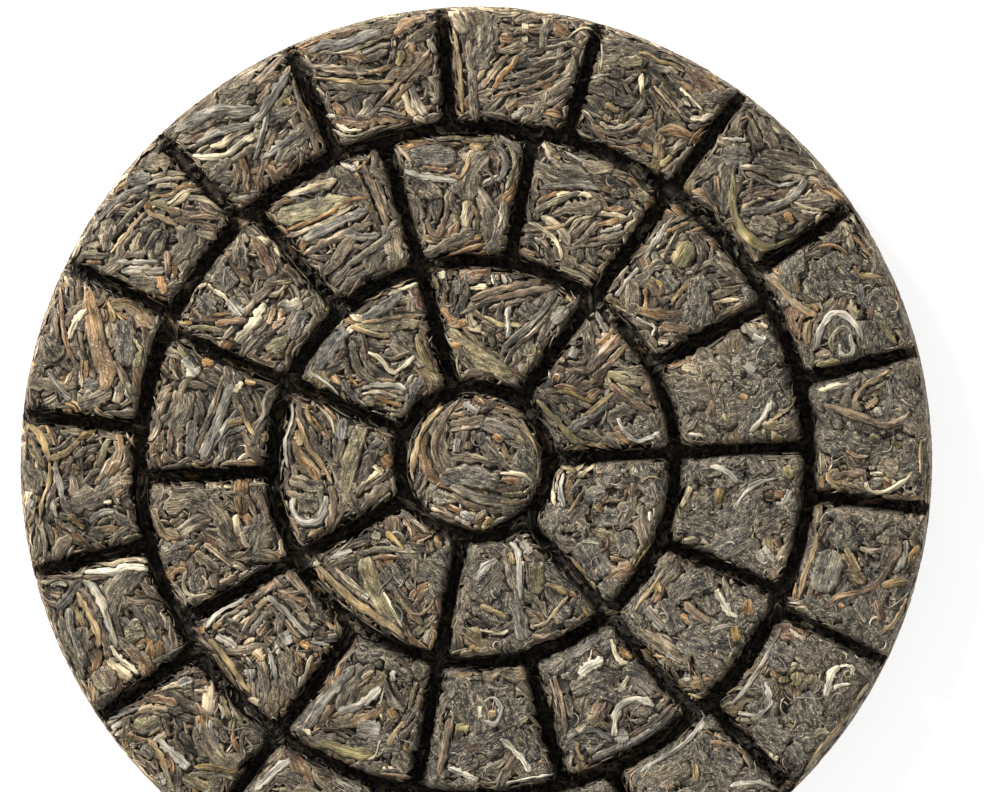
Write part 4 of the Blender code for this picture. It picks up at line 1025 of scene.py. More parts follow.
STEM_TONES = ((1, "#a88c5a"), (1, "#765f4a"), (1, "#6f503b"), (1, "#a8783a"))
STEMS = (
    (1, 1.6, -39.4, 83.1, -38.3, 79.7, -37, 74.9, -35.3, 71, -33.8, 66.6),
    (0, 1.1, -34.9, 83.7, -29.2, 83.1, -24.4, 82.7, -17.5, 82.9),
    (2, 1.2, -22.7, 74.9, -20.1, 78.3, -15.8, 83.5, -11.4, 87.5, -9.7, 90),
    (0, 1.6, -4.9, 94.4, -4, 90.5, -3.3, 85.3, -3.1, 80.1, -2.7, 75.7),
    (3, 1.0, -41, 50.5, -35.7, 52.3, -30.5, 54.9, -27, 57.5, -22.7, 57.5),
    (1, 1.4, -24.5, 64.9, -22.3, 60.1, -20.5, 55.7, -18.8, 51.4),
    (0, 1.1, -0.1, 67.9, -1.4, 67, -1.6, 64.4, -3.1, 62),
    (0, 1.5, -1, 68.8, 2, 68.5),
    (2, 1.4, -10.6, 52.8, -8.5, 48.2, -6.2, 52.8, -5.8, 57),
    (3, 1.2, -8.3, 44, -3.1, 45.7, 2, 47.4),
    (1, 1.6, 1.6, 81.4, 4.3, 85.3, 6.9, 88.3),
    (2, 1.1, 3.4, 79.2, 7.7, 80.5, 12.5, 81.4, 15.5, 82.7, 18.6, 84.4),
    (0, 1.0, 35.6, 89.2, 38.2, 88.8, 39.9, 87, 43, 87, 46, 84.9),
    (1, 0.7, 39, 81.9, 43, 77),
    (1, 0.7, 40.4, 81, 45, 75.8),
    (1, 0.7, 38, 81.5, 41.7, 76),
    (3, 2.0, 36.5, 69.2, 38.6, 67.5),
    (0, 1.4, 16.5, 67.4, 18.6, 66.1),
    (0, 1.0, 12.1, 50.5, 16, 50.7, 19.9, 51.8),
    (3, 0.9, 41.7, 50.1, 46.5, 52.3),
    (3, 0.9, 47.4, 50.5, 51.7, 51.8),
    (2, 1.3, 58.2, 56.6, 60.8, 58.4, 65.6, 58.6),
    (3, 1.8, 67.7, 54.4, 69, 51.8),
    (0, 0.8, 57.7, 74.4, 59.5, 75.3, 61.2, 72.7, 61.6, 71),
    (2, 1.6, 52.5, 62.3, 53, 57.9),
    (3, 1.0, 74.7, 47, 78.2, 47.5, 81.2, 45.3),
    (2, 1.8, -66.8, 46, -66.8, 41),
    (3, 2.2, -68.4, 40.5, -67.7, 36.6),
    (2, 1.0, -90.7, 38.4, -90.1, 34.4, -89.7, 30.5, -88.7, 24.4, -85.7, 19.9),
    (0, 1.2, -89, 17, -87.5, 19.7),
    (0, 1.6, -97.7, 8.8, -95.1, 7, -94, 4.9, -92.5, 0.3),
    (0, 1.6, -92.5, 0.8, -89.7, 1.4, -87.5, 3.3, -85.7, 5.3),
    (0, 1.0, -92.5, 0.3, -92.3, -3, -93.1, -6, -94.2, -8.2, -94.7, -13.4),
    (2, 1.2, -87.7, 1.4, -88.8, -2.5),
    (2, 1.3, -78.3, -7.3, -76.2, -6),
    (3, 2.4, -59.3, 21.8, -56.7, 21.8),
    (0, 1.6, -53.6, 8.3, -50.5, 9.2),
    (0, 1.2, -51.2, 12.7, -49.7, 8.8, -47.9, 5.7),
    (2, 1.4, -66.2, 7.5, -66.4, 1.4),
    (2, 1.6, -56.4, 30.1, -53, 30.6, -49.7, 31),
    (2, 1.4, -44, 29.2, -41, 31.4),
    (0, 1.2, -27, 29.7, -24, 28.6, -21, 27.7, -18.3, 27.5),
    (0, 1.0, -24.4, 30.5, -19.2, 31, -14.4, 32, -12.3, 31.6),
    (2, 1.8, -24, 27, -23.6, 22.3),
    (3, 1.0, -21.8, 14.4, -18.8, 13.1, -15.7, 12.3),
    (3, 0.7, -27.5, 19, -25.3, 16.4),
    (0, 0.7, -27.9, 17.5, -24.8, 17.9),
    (1, 0.9, -18.3, 22.3, -14, 24),
    (0, 1.0, -36.2, 12.7, -36.6, 11, -35.3, 8.3, -33.8, 6.6),
    (3, 1.0, -35.7, 10.1, -33.1, 7),
    (2, 1.6, -33.6, 11, -31.4, 7.5),
    (0, 2.0, -38.3, 7, -38.1, 3.6),
    (1, 1.4, -21.8, 7.5, -18.3, 6.2, -16.6, 4.9),
    (3, 2.6, -19.8, 1.2, -17.8, -0.8),
    (1, 2.6, -18.3, -4.3, -21, -6.4, -23.1, -8.6, -24.4, -10.3),
    (1, 2.0, -31.4, -5.1, -30.5, -8.2, -31.4, -11.6, -31.8, -14.2),
    (1, 2.0, -47.5, -6, -45.7, -9.9, -44.9, -13.4),
    (1, 1.4, -3.1, 14, -5.7, 11.8, -7, 8.3, -8.8, 5.3, -9, 2.7, -7.5, -2.1, -5.7, -2.9),
    (0, 1.6, -7, 12.3, -10.1, 9.2, -12.3, 5.7, -13.1, 1.8, -13.4, -2.1),
    (1, 1.8, -5.3, 8.3, -2.3, 8.8, 0.3, 9.2, 2.3, 9.6),
    (0, 1.2, 5.6, -8.6, 9, -8.8, 11.6, -8.2),
    (0, 1.2, 9.9, 8.3, 12.1, 6.2, 13.8, 3.1, 14.3, -0.3, 13.8, -3.8),
    (3, 2.0, 4.1, 5.9, 6.1, 4.7),
    (2, 1.0, 5.1, 13.1, 7.7, 12.3, 10.3, 11),
    (2, 1.0, -10.1, -2.5, -12.1, -6.9),
    (1, 1.8, -0.9, 35.3, 1.2, 36.2, 3.8, 37, 7.3, 38.3, 11.2, 38.8, 14.7, 39),
    (1, 1.6, 1.2, 34.9, 4.7, 35.7, 8.2, 36.6, 12.1, 37.3, 17.7, 38.3),
    (2, 1.4, 5, 28, 6.2, 26.2),
    (3, 1.6, -5.3, 25.3, -2.7, 25.5),
    (2, 2.6, 31.7, 27.9, 29.5, 25.3, 26.9, 22.7, 24.7, 20.1),
    (2, 1.2, 29.5, 21.8, 27.3, 19.7, 25.6, 18.3),
    (2, 1.6, 17.6, 20.4, 19.4, 19.9),
    (1, 2.0, 18.6, 12.7, 19.9, 10.9),
    (2, 1.8, 29.5, 17, 32.5, 14.4, 35.6, 12.3, 39, 11),
    (0, 1.0, 30.3, 15.3, 28.2, 13.6, 25.6, 11.4, 23.8, 10.1),
    (0, 1.0, 43, 34.9, 45.1, 37.9, 47.3, 39.2),
    (2, 2.4, 40.8, 29.7, 46.9, 29),
    (3, 1.4, 57.6, 14.4, 59.4, 14),
    (2, 1.8, 51.6, 13.6, 51.6, 10),
    (2, 1.8, 86, 34, 86, 31.2),
    (1, 1.8, 75.6, 12.3, 79.9, 11.4, 84.3, 9.7, 88.2, 8.3, 91.2, 8.3, 93.8, 9.7, 94.7, 11),
    (2, 0.9, 80.8, 2.7, 83.4, 1, 85.6, 1.4),
    (1, 1.8, 77.7, -3.4, 79.9, -2.5, 82.5, -2.3, 84.7, -2.5),
    (1, 1.2, 79.9, -4.3, 82.5, -5.1, 84.3, -6.4),
    (0, 1.0, 97.3, 4.9, 97.1, -2.5),
    (3, 2.0, 65.2, -6.9, 67.2, -6.9),
    (2, 1.4, -94.7, -24.7, -91.8, -24.5, -88.3, -24.7, -85.3, -24.5),
    (2, 1.6, -92.3, -28.6, -90.1, -29),
    (1, 1.4, -58.8, -17.7, -55.3, -20.3, -52.7, -22.5),
    (1, 1.6, -55.3, -26.4, -51.8, -24.7),
    (2, 1.0, -72, -51, -70.5, -52),
    (2, 1.2, -67.5, -56, -66.4, -59.5),
    (2, 2.0, -76.8, -60.2, -76.8, -62.6),
    (2, 1.4, -61, -47.7, -58.2, -47.7),
    (3, 2.0, -59.7, -35.6, -59.7, -37.3),
    (0, 1.6, -57, -36, -54.9, -35.1),
    (0, 1.6, -57.9, -38.6, -55.3, -40.8, -53.6, -43.4, -51.4, -46.9, -48.8, -50.3),
    (1, 1.8, -13.1, -21, -13.1, -25),
    (0, 2.0, -34.9, -21.4, -33.1, -23.8, -30.1, -26.9, -26.2, -30.3, -22.7, -33, -18.3, -35.6, -15.3, -38.2),
    (3, 2.0, -38, -39.2, -36, -40),
    (1, 2.0, -24.4, -47.3, -21.8, -45.6),
    (3, 2.0, -18.3, -53.4, -17.5, -55.6),
    (0, 1.2, -12.7, -47.7, -13.6, -51.2, -14.2, -53.8),
    (0, 2.0, -11.8, -50.5, -11.8, -53.5),
    (2, 1.2, -20.5, -67.9, -16.6, -68.3, -13.5, -68.6),
    (1, 1.2, -8.3, -56.7, -8.3, -59.1),
    (0, 1.2, 1.2, -31.2, 3.8, -32.1, 6.9, -33.8),
    (1, 1.6, 12.5, -37.7, 15.1, -38.6, 16.9, -37.3),
    (1, 1.2, 28.2, -33, 33.4, -32.1),
    (0, 0.9, 25.1, -4.5, 23, -7.5, 20.3, -11),
    (2, 1.6, 26.6, -2.4, 27.8, -2.4),
    (2, 2.0, 34.5, -4.5, 34.5, -7.5),
    (0, 1.6, 80.8, -18.6, 82.5, -21.7, 83.8, -23.8),
    (2, 1.6, 92.3, -16.9, 92.5, -19, 91.2, -21.7, 89.5, -23.8, 88.2, -26, 85.1, -27.7, 81.7, -28.6, 78.2, -29,
     76.9, -31.2),
    (3, 1.2, 97.3, -18.2, 94.7, -19.9, 95.1, -22.5, 96.4, -20.8, 97.7, -18.6),
    (2, 2.4, 87.3, -29.9, 88.6, -34.3),
    (3, 1.2, 79.1, -31.2, 80.3, -31.2),
    (2, 1.8, 70.4, -36, 73, -37.3),
    (1, 2.2, 45.6, -30.3, 48.2, -33, 51.2, -35.1),
    (3, 2.4, 59.5, -29.7, 59.5, -33.3),
    (3, 2.0, 31.7, -40.3, 33, -41.7, 34.3, -42.5),
    (1, 1.4, 17.3, -46.4, 18.6, -51.2, 19.5, -55.1, 19.9, -59),
    (0, 1.2, 22.1, -60.8, 22.5, -63.4, 23.8, -64.7),
    (2, 1.0, 33.4, -59.5, 39.5, -56.4, 43, -52.5),
    (0, 2.0, 3, -54.6, 4.6, -54.6),
    (2, 1.1, 9, -59, 9, -62.5, 7.7, -65.6, 6, -67.3),
    (2, 1.4, -1.8, -62.1, 1.2, -61.7),
    (0, 2.0, -4.4, -46.4, -0.5, -45.6),
    (1, 2.0, -7.9, -68.2, -6.6, -62.5, -5.3, -55.6),
    (0, 1.1, 46.4, -50.3, 49, -51.7, 52.3, -50.3),
    (2, 1.4, 51.2, -60.8, 53.8, -61.2, 56.4, -62.1),
)
stems = lay_rows(
    rng, scored_side, STEMS, STEM_TONES, 15, STRAND_ACROSS, widen=1.15, thickness=(0.4, 0.6), tip=(0.2, 0.6),
    lowered=0.04, twist=0.4,
)
join_cake(
    leaf_mesh("stems", scored_side, stems, STRAND_ACROSS, STRAND_SECTION),
    leaf_material("rolled_brown_leaf", STEM_TONES, streaks=0.9, edge_highlight=0.2, wrinkles=0.7),
)

# ---- Grey strands ----
# Leaves rolled lengthwise and pressed flat: twisted and folded, from charcoal to silver grey.

GREY_TONES = ((1, "#4a4742"), (1, "#6e6a62"), (1, "#8e8a82"), (1, "#655c45"))
GREY_STRANDS = (
    (1, 3.2, -65.5, 72.3, -61, 74.5, -56, 76.8, -51, 75.8, -47, 77),
    (1, 2.0, -60.5, 69.2, -57, 71.4, -53, 72.7, -47.8, 73.6),
    (3, 2.0, -85.7, 45.3, -80, 44.9),
    (1, 1.6, -82.3, 52.7, -79.2, 56.2, -75.3, 58.8, -71, 60.1),
    (1, 3.0, -75.5, 61.5, -70.5, 61.8),
    (1, 1.2, -44.4, 77.9, -46.2, 71, -47.9, 65.8),
    (2, 1.6, -46.2, 66.1, -42.3, 68.8, -38.8, 71.4),
    (2, 2.4, -36.2, 89.2, -33.1, 91.4, -29.3, 90.5, -24.5, 92.7, -20, 94),
    (1, 2.4, -37, 48.5, -32, 51, -27, 53.5, -23, 54.8),
    (3, 1.6, -27, 43.1, -22.7, 46.2, -18.3, 49.6),
    (1, 1.8, -28.3, 50.1, -24.4, 48.8, -20.5, 49.6),
    (1, 1.6, 14.3, 59.7, 19.5, 60.5, 24.7, 60.5, 27.3, 59.2),
    (3, 1.4, 13, 54.4, 16.9, 56.6, 21.6, 58.4, 23, 58.6),
    (0, 2.2, 58.2, 54.4, 62.5, 54.9, 66.9, 56.2, 70.3, 58.8, 72.5, 62.3),
    (3, 1.8, 60.8, 65.7, 65.6, 64.9, 70.8, 63.5, 75.6, 63.1),
    (0, 1.8, -93.1, 20.1, -91.6, 17.5, -89.4, 14.9, -87.9, 13.6),
    (1, 1.6, -91.4, -0.8, -90.1, -4.7, -89.7, -8.2, -88.3, -11.2, -85.7, -13.8),
    (2, 2.0, -96.2, -8.2, -97, -9.7),
    (1, 1.2, -81.4, -6, -79.7, -3.4),
    (2, 1.4, -83.8, -13, -81.4, -10.8, -78.3, -10.6),
    (1, 2.0, -52.7, 17, -54, 13.6, -55.3, 10.1, -57, 6.2, -59.2, 0.5),
    (2, 1.6, -51, 11.8, -53.6, 8.8, -55.3, 6.2, -57.5, 3.1, -58.8, 0.1),
    (1, 1.0, -55.3, 1.4, -54.9, 4.9, -52.7, 7, -50.5, 7),
    (0, 2.6, -61.4, 9.2, -61.8, 1.4),
    (2, 3.0, -53.5, 35.5, -50.5, 32),
    (1, 2.6, -15.7, 37, -18.3, 34.9, -21.4, 32.7, -24.4, 31.4),
    (2, 4.4, -27.9, 28.8, -30.5, 26.2, -32.7, 22.7, -34.4, 20.5),
    (0, 2.0, -28.8, 17.9, -26.2, 13.6, -23.6, 11.8),
    (2, 1.6, -16.5, 20.2, -15.2, 21.4, -13.1, 23.1),
    (3, 2.0, -26.6, 26.6, -26.2, 23.1, -24.9, 19.7, -22.7, 17.9, -20.1, 16.6),
    (0, 2.6, -11.4, 18.3, -13.1, 16.2, -14, 12.7),
    (2, 2.4, -28.3, 9.7, -29.2, 4.9),
    (1, 1.6, -22.7, 3.1, -20.5, 4.9),
    (2, 2.0, 1.8, 6.6, 1.4, 4),
    (3, 2.2, -5.3, -5.1, -1.4, -6.9, 2.3, -8.2, 5.6, -8.6, 10.3, -8.8),
    (2, 1.6, -3.1, -10.8, -0.1, -12.5),
    (0, 2.2, -3.6, 39.7, -3.6, 36.6),
    (0, 1.6, 18.6, 38.3, 16, 34.4, 13.4, 31.4, 10.8, 28.8, 7.7, 26.6, 5.6, 23.1),
    (0, 2.0, 29, 13.1, 25.6, 10.5, 22.1, 7.9, 20.3, 7),
    (2, 2.4, 20.8, 23, 22, 25),
    (3, 1.2, 78.2, 23.6, 77.3, 26.6, 79, 29.2, 81.2, 29.2, 82.1, 26.6),
    (1, 1.8, 83.8, 38.8, 84.3, 34.4),
    (2, 1.2, 89.9, 17.9, 90.6, 14.9, 90.6, 11.8),
    (0, 2.2, -85.7, -25.1, -87.5, -28.2, -89.2, -30.3, -91, -32.1),
    (0, 2.0, -88.3, -31.7, -87.9, -36, -86.2, -40.3, -84.9, -44.7),
    (3, 2.2, -90.1, -33.4, -89.7, -37.7, -87.5, -42.1, -85.3, -47.3),
    (0, 2.0, -74.4, -31.7, -71, -35.1, -69.2, -39),
    (1, 1.2, -66.2, -19, -61.4, -16.9),
    (2, 2.4, -64.4, -48.2, -61.4, -47.3),
    (2, 2.6, -48.8, -45, -48.8, -47.8),
    (3, 1.4, -25.3, -19.9, -21, -18.8, -16.6, -19, -12.7, -19.5),
    (1, 1.2, -48.8, -37.3, -46.2, -33.4, -44.9, -32.5),
    (2, 2.6, -41.8, -37, -40.4, -39.6),
    (1, 2.6, -26.2, -44.3, -28.8, -47.3, -31.4, -50.3, -34, -53.4, -36.6, -57.7),
    (1, 1.4, -19.7, -47.3, -18.3, -51.2, -15.3, -54.3),
    (1, 3.4, 8.2, -30.3, 9.5, -33, 10.3, -36, 10.8, -38.6),
    (2, 1.2, 23, -3.6, 20.8, -7),
    (0, 1.6, 51.2, -36.9, 54.7, -35.6, 57.7, -35.6),
    (1, 2.0, 27.3, -37.7, 23.8, -40.3, 20.3, -42.5),
    (1, 2.4, 25.6, -64.3, 30.8, -62.5, 36, -60.3, 40.3, -57.7, 43.4, -53.4),
    (2, 2.0, 12.1, -62.5, 13.8, -64.3),
)
grey_strands = lay_rows(
    rng, scored_side, GREY_STRANDS, GREY_TONES, 15, STRAND_ACROSS, widen=1.2, thickness=(0.4, 0.6),
    tip=(0.2, 0.6), lowered=0.05, twist=0.4,
)
join_cake(
    leaf_mesh("grey_strands", scored_side, grey_strands, STRAND_ACROSS, STRAND_SECTION),
    leaf_material("rolled_grey_leaf", GREY_TONES),
)

# ---- Fine fibres ----
# Hairs, leaf edges and split veins: thin, pale and curly, pressed onto the face where the leaf is
# flattest, which is mostly at the lower right.


def lay_random(rng, sheet, count, stations, across, deepest, favour=None, **shape):
    """Lays leaves that are drawn at random where the sheet is still bare."""
    middles = sheet.bare_places(rng, count, favour)
    leaves = random_leaves(rng, sheet, middles, stations=stations, **shape)
    return lay(sheet, leaves, stations, across, deepest)


def to_lower_right(least, shift, run):
    """Favours places more, the further they are to the lower right."""
    return lambda at: least + np.clip((at[..., 0] - at[..., 1] + shift) / run, 0, 1)


THIN_ACROSS = (-1.0, 0.0, 1.0)
THIN_SECTION = (0.5, 0.0, 0.5)
FIBRE_TONES = ((3, "#857d6f"), (2, "#9d9384"), (1.5, "#b0a084"), (1, "#8f6c49"), (1, "#cabea8"))
fibres = lay_random(
    rng, scored_side, 900, 7, THIN_ACROSS, 0.4, to_lower_right(0.25, 20, 70), length=(2, 7), width=(0.25, 0.6),
    thickness=(0.15, 0.3), bend=2.2, wave=0.9, loose=1.2, ragged=0.35, lowered=0.05, tip=(0.1, 0.5),
)
join_cake(
    leaf_mesh("fine_fibres", scored_side, fibres, THIN_ACROSS, THIN_SECTION),
    leaf_material("pale_fibre", FIBRE_TONES, streaks=0.4, edge_highlight=0.1, web=0.0),
)

# ---- Broad leaves ----
# Whole and torn leaves that were pressed open.  Thin, charcoal to olive, wavy, with a sunken midrib.

BROAD_ACROSS = (-1.0, -0.6, -0.15, 0.15, 0.6, 1.0)
BROAD_SECTION = (0.7, 0.1, 0.32, 0.32, 0.1, 0.7)
BROAD_TONES = (
    (3, "#40362a"), (4, "#4d4232"), (3, "#5c4e3b"), (2, "#6d5c44"), (1.6, "#6a5436"), (1.2, "#7a663c"),
    (1, "#825f3c"), (0.6, "#694434"),
)
SHEET_TONES = ((2, "#37332d"), (3, "#3e3931"), (2, "#474035"), (1, "#443828"))
LARGE_TONES = ((1, "#413f3c"), (1, "#5b4c3c"), (1, "#847a52"), (1, "#8a6238"), (1, "#7a766e"), (1, "#b0a57a"))
LARGE_LEAVES = (
    (5, 5.0, -43, 53, -37, 54.5, -31, 56, -27, 57.3),
    (0, 5.0, -14, 67, -4, 66.5),
    (2, 3.0, 31.5, 87, 36.5, 87.3),
    (2, 3.0, 35.1, 59.2, 37.8, 57.1),
    (1, 4.5, 60, 52.5, 66, 50.5),
    (0, 5.0, 54, 67, 60, 66.5),
    (3, 4.4, -84.2, 38.3, -83.8, 34.4, -82.7, 30.1, -82, 25.7, -80.7, 21.4, -79.6, 18.8, -80.5, 15.5),
    (0, 5.0, -77, 31, -76, 27, -76, 21),
    (2, 2.4, -74.5, 27, -73, 24, -73.5, 20.5),
    (0, 3.0, -85, 17.5, -82, 16.5),
    (0, 6.0, -55.5, 41.5, -52.7, 38),
    (0, 5.0, -59.7, 36.2, -57, 32.3),
    (0, 3.6, -40, 27, -37, 33),
    (2, 3.0, -45.3, 24.4, -41, 26.6),
    (2, 3.4, -25.1, 29.2, -21, 29.7, -16.6, 30.1, -12.3, 30.3),
    (1, 2.4, -13.1, 36.2, -14, 32.7),
    (2, 4.2, -24, 8.8, -25.3, 5.7, -26.6, 1.8, -27.5, -2.5, -28.3, -6.9),
    (1, 3.6, -40.1, -3.4, -36.2, -5.1, -32.7, -5.1),
    (1, 5.0, -38, -8.5, -34, -9.5),
    (0, 5.0, -7.5, -3.8, -4, -2.9, -0.5, -2.9, 2.3, -3.8, 5.2, -4.5),
    (0, 4.0, 1.2, 8.3, 3.8, 8.3, 6.9, 7, 9, 5.7),
    (4, 3.4, -9, -7, -6, -8),
    (0, 4.5, 10, 34, 14, 31.5),
    (4, 3.4, 16.9, 30.5, 20.3, 33.6),
    (2, 4.5, -5.5, 29, -2, 25, 1.2, 22.5, 4.7, 20.5, 8.2, 19),
    (2, 2.0, 13, 25.7, 11.6, 20.5),
    (0, 3.0, 33, 24, 36, 22),
    (2, 3.2, 29, 19.4, 32.5, 18.3, 36.9, 17.5),
    (1, 4.0, 34.3, 39.2, 34.3, 31.8),
    (0, 5.0, 40.5, 41, 43.5, 37.5),
    (0, 6.0, 73, 40.5, 75.6, 35.3),
    (0, 5.0, 76.5, 40.5, 79.5, 37),
    (0, 3.0, 88, 36, 89, 33),
    (0, 6.0, 80, 5.5, 86, 2.5),
    (1, 5.0, 88, 0, 92, -2),
    (2, 4.0, -76, -38, -72, -36.5),
    (1, 6.0, -82, -45, -79, -49.5),
    (0, 3.4, -61, -24.6, -60.5, -28),
    (2, 4.4, -74, -56.4, -71, -57.7, -68.3, -56),
    (0, 3.0, -72.5, -62, -70, -64),
    (2, 4.4, -24, -20.8, -22.7, -25.1, -21, -29.5, -18.3, -33.4, -15.7, -36.9),
    (0, 6.0, -19.5, -23, -16, -27),
    (1, 3.6, -41, -42, -40.5, -46),
    (4, 5.0, -25.5, -57.5, -20.5, -58.5),
    (1, 5.0, -17, -63.5, -14, -67),
    (1, 3.2, 6.9, -18.6, 7.7, -22.1, 8.6, -25.6, 9.5, -29),
    (0, 5.0, 17, -31, 20, -34),
    (0, 8.0, 23.5, -17, 28, -25),
    (0, 6.0, 32, -15, 34, -20.5),
    (0, 6.0, 28.5, -25.5, 31, -30.5),
    (4, 4.0, 23.5, -7, 28.5, -6),
    (0, 5.0, 25.5, -12, 31.5, -12),
    (0, 7.0, 52, -19.5, 60, -15.5),
    (4, 3.0, 62, -19, 63.5, -22),
    (4, 7.0, 78, -19, 75, -28),
    (3, 3.0, 79.9, -19.9, 81.7, -23.8, 85.1, -26),
    (0, 8.0, 62.5, -40.5, 69, -43.5),
    (0, 8.0, 61, -57.5, 68, -61.5),
    (0, 7.0, 71, -50.5, 74, -56),
    (0, 5.0, 68.5, -61.5, 71.5, -65.5),
    (0, 6.0, 40.5, -30, 44.5, -37),
    (0, 6.0, 44.5, -38.2, 51, -41.5),
    (0, 6.0, 33, -44, 39, -50),
    (0, 5.0, 21, -49.5, 28, -46.5),
    (1, 3.0, 34.5, -54, 38.5, -54),
    (0, 6.0, 51.5, -63.5, 58, -66.5),
    (1, 6.0, 39.5, -69.5, 46.5, -65.5),
    (0, 5.0, -4, -66, 0.5, -64),
)
large = lay_rows(
    rng, scored_side, LARGE_LEAVES, LARGE_TONES, 13, BROAD_ACROSS, thickness=(0.25, 0.35), tip=(0.2, 0.6),
    ragged=0.12, lowered=0.05, twist=0.1,
)
join_cake(
    leaf_mesh("large_leaves", scored_side, large, BROAD_ACROSS, BROAD_SECTION, ridges=0.2, ripple=0.12),
    leaf_material("pressed_whole_leaf", LARGE_TONES, streaks=0.6, edge_highlight=0.2, web=1.0),
)

sheets = lay_random(
    rng, scored_side, 400, 13, BROAD_ACROSS, 0.35, to_lower_right(0.0, -5, 60), length=(8, 18), width=(5.0, 10.0),
    thickness=(0.1, 0.16), bend=0.5, ragged=0.3, lowered=0.04, tip=(0.1, 0.6), wave=0.4, twist=0.3,
)
join_cake(
    leaf_mesh("flat_sheets", scored_side, sheets, BROAD_ACROSS, BROAD_SECTION, ridges=0.2, ripple=0.03),
    leaf_material(
        "flattened_charcoal_leaf", SHEET_TONES, streaks=0.15, edge_highlight=0.05, wrinkles=1.1, web=1.1, relief=0.3
    ),
)

open_shape = {"bend": 0.5, "ragged": 0.28, "lowered": 0.08, "tip": (0.1, 0.6), "wave": 0.4, "twist": 0.3}
broad = gather([
    lay_random(
        rng, scored_side, 150, 13, BROAD_ACROSS, 0.5, to_lower_right(0.3, 10, 70), length=(7, 17),
        width=(2.6, 6.5), thickness=(0.22, 0.35), **open_shape,
    )
    for _ in range(3)
])
open_leaf = leaf_material("pressed_open_leaf", BROAD_TONES, streaks=0.8, web=0.7)
join_cake(
    leaf_mesh("broad_leaves", scored_side, broad, BROAD_ACROSS, BROAD_SECTION, ridges=0.2, ripple=0.12), open_leaf
)

# ---- Long strands ----
# Rolled brown and grey leaves in sheaves.  Many run alongside the leaves laid above, and some sweep over
# a portion and wrap over its edge.


def leaves_beside(rng, sheet, lines, widths, stations, width, **shape):
    """Leaves that run along both sides of others that are fairly straight, each longer or shorter."""
    chord = np.linalg.norm(lines[:, -1] - lines[:, 0], axis=-1)
    straight = chord > 0.85 * np.linalg.norm(np.diff(lines, axis=1), axis=-1).sum(1)
    lines, widths = np.repeat(lines[straight], 2, axis=0), np.repeat(widths[straight], 2)
    count, known = lines.shape[:2]
    leaves = random_leaves(
        rng, sheet, lines[:, known // 2], length=(1, 1), width=width, stations=stations, bend=0.0, **shape
    )
    starts, ends = rng.uniform(-0.2, 0.35, (count, 1)), rng.uniform(0.65, 1.2, (count, 1))
    along = (starts + (ends - starts) * np.linspace(0, 1, stations)) * (known - 1)
    before = np.clip(np.floor(along).astype(int), 0, known - 2)
    line = np.take_along_axis(lines, before[..., None], 1)
    line = line + (np.take_along_axis(lines, before[..., None] + 1, 1) - line) * (along - before)[..., None]
    aside = np.gradient(line, axis=1)[..., ::-1] * (-1, 1)
    aside /= np.maximum(np.linalg.norm(aside, axis=-1, keepdims=True), 1e-6)
    gap = 0.45 * (widths + leaves["width"]) * rng.uniform(0.8, 1.5, count) * np.tile([-1, 1], count // 2)
    line = line + aside * gap[:, None, None]
    leaves.update(line=line, length=np.linalg.norm(np.diff(line, axis=1), axis=-1).sum(1))
    return leaves


STRAND_TONES = (
    (4, "#3f3223"), (4, "#52412e"), (3, "#69553e"), (3, "#7c6b5a"), (2.5, "#6d4b26"), (2, "#966b31"),
    (1.4, "#6a442e"), (1.4, "#6f6433"), (1.6, "#a39788"), (1.4, "#cfb991"),
)
batches = []
for lines, widths in scored_side.guides:
    leaves = leaves_beside(
        rng, scored_side, lines, widths, stations=15, width=(1.2, 3.0), thickness=(0.4, 0.6), wave=0.4,
        lowered=0.08, ragged=0.2,
    )
    batches.append(lay(scored_side, leaves, 15, STRAND_ACROSS, deepest=0.55))
batches.append(lay_random(
    rng, scored_side, 130, 15, STRAND_ACROSS, 0.45, to_lower_right(0.2, -60, -120), length=(10, 24),
    width=(1.4, 4.2), thickness=(0.35, 0.55), bend=0.7, wave=0.5, lowered=0.05, loose=0.35, sheaf=2,
))
long_strands = gather(batches)
rolled_leaf = leaf_material("rolled_dark_leaf", STRAND_TONES, edge_highlight=0.3)
join_cake(leaf_mesh("long_strands", scored_side, long_strands, STRAND_ACROSS, STRAND_SECTION), rolled_leaf)

# ---- Strands behind them ----
# The same rolled leaf, in shorter lengths, pressed forward into the gaps between the leaves in front.

batches = []
for k in range(8):
    sheaf, shorter = 1 + k % 3, 1 - 0.04 * k
    batches.append(lay_random(
        rng, scored_side, 510 // sheaf, 9, STRAND_ACROSS, 0.75, length=(5 * shorter, 18 * shorter),
        width=(1.2, 4.0 - 0.1 * k), thickness=(0.3, 0.5), bend=0.8, wave=0.5, lowered=0.12, loose=0.4, sheaf=sheaf,
    ))
strands = gather(batches)
radius = np.hypot(*strands["middle"].T)
for name, low, high in (("inner_strands", 0, 62), ("middle_strands", 62, 86), ("outer_strands", 86, 200)):
    chosen = pick(strands, (radius >= low) & (radius < high))
    join_cake(leaf_mesh(name, scored_side, chosen, STRAND_ACROSS, STRAND_SECTION), rolled_leaf)

# ---- Crumbs ----
# Broken bits of leaf that fill the gaps between the strands.

CRUMB_TONES = (
    (4, "#3f3223"), (4, "#52412e"), (3, "#69553e"), (2, "#7c6b5a"), (1, "#6d4b26"), (0.7, "#886232"),
    (0.6, "#a39788"),
)


def on_side_wall(at):
    """Favours the side wall, which shows bare core where too few leaves reach it."""
    return np.hypot(at[..., 0], at[..., 1]) > FACE_RADIUS + 5


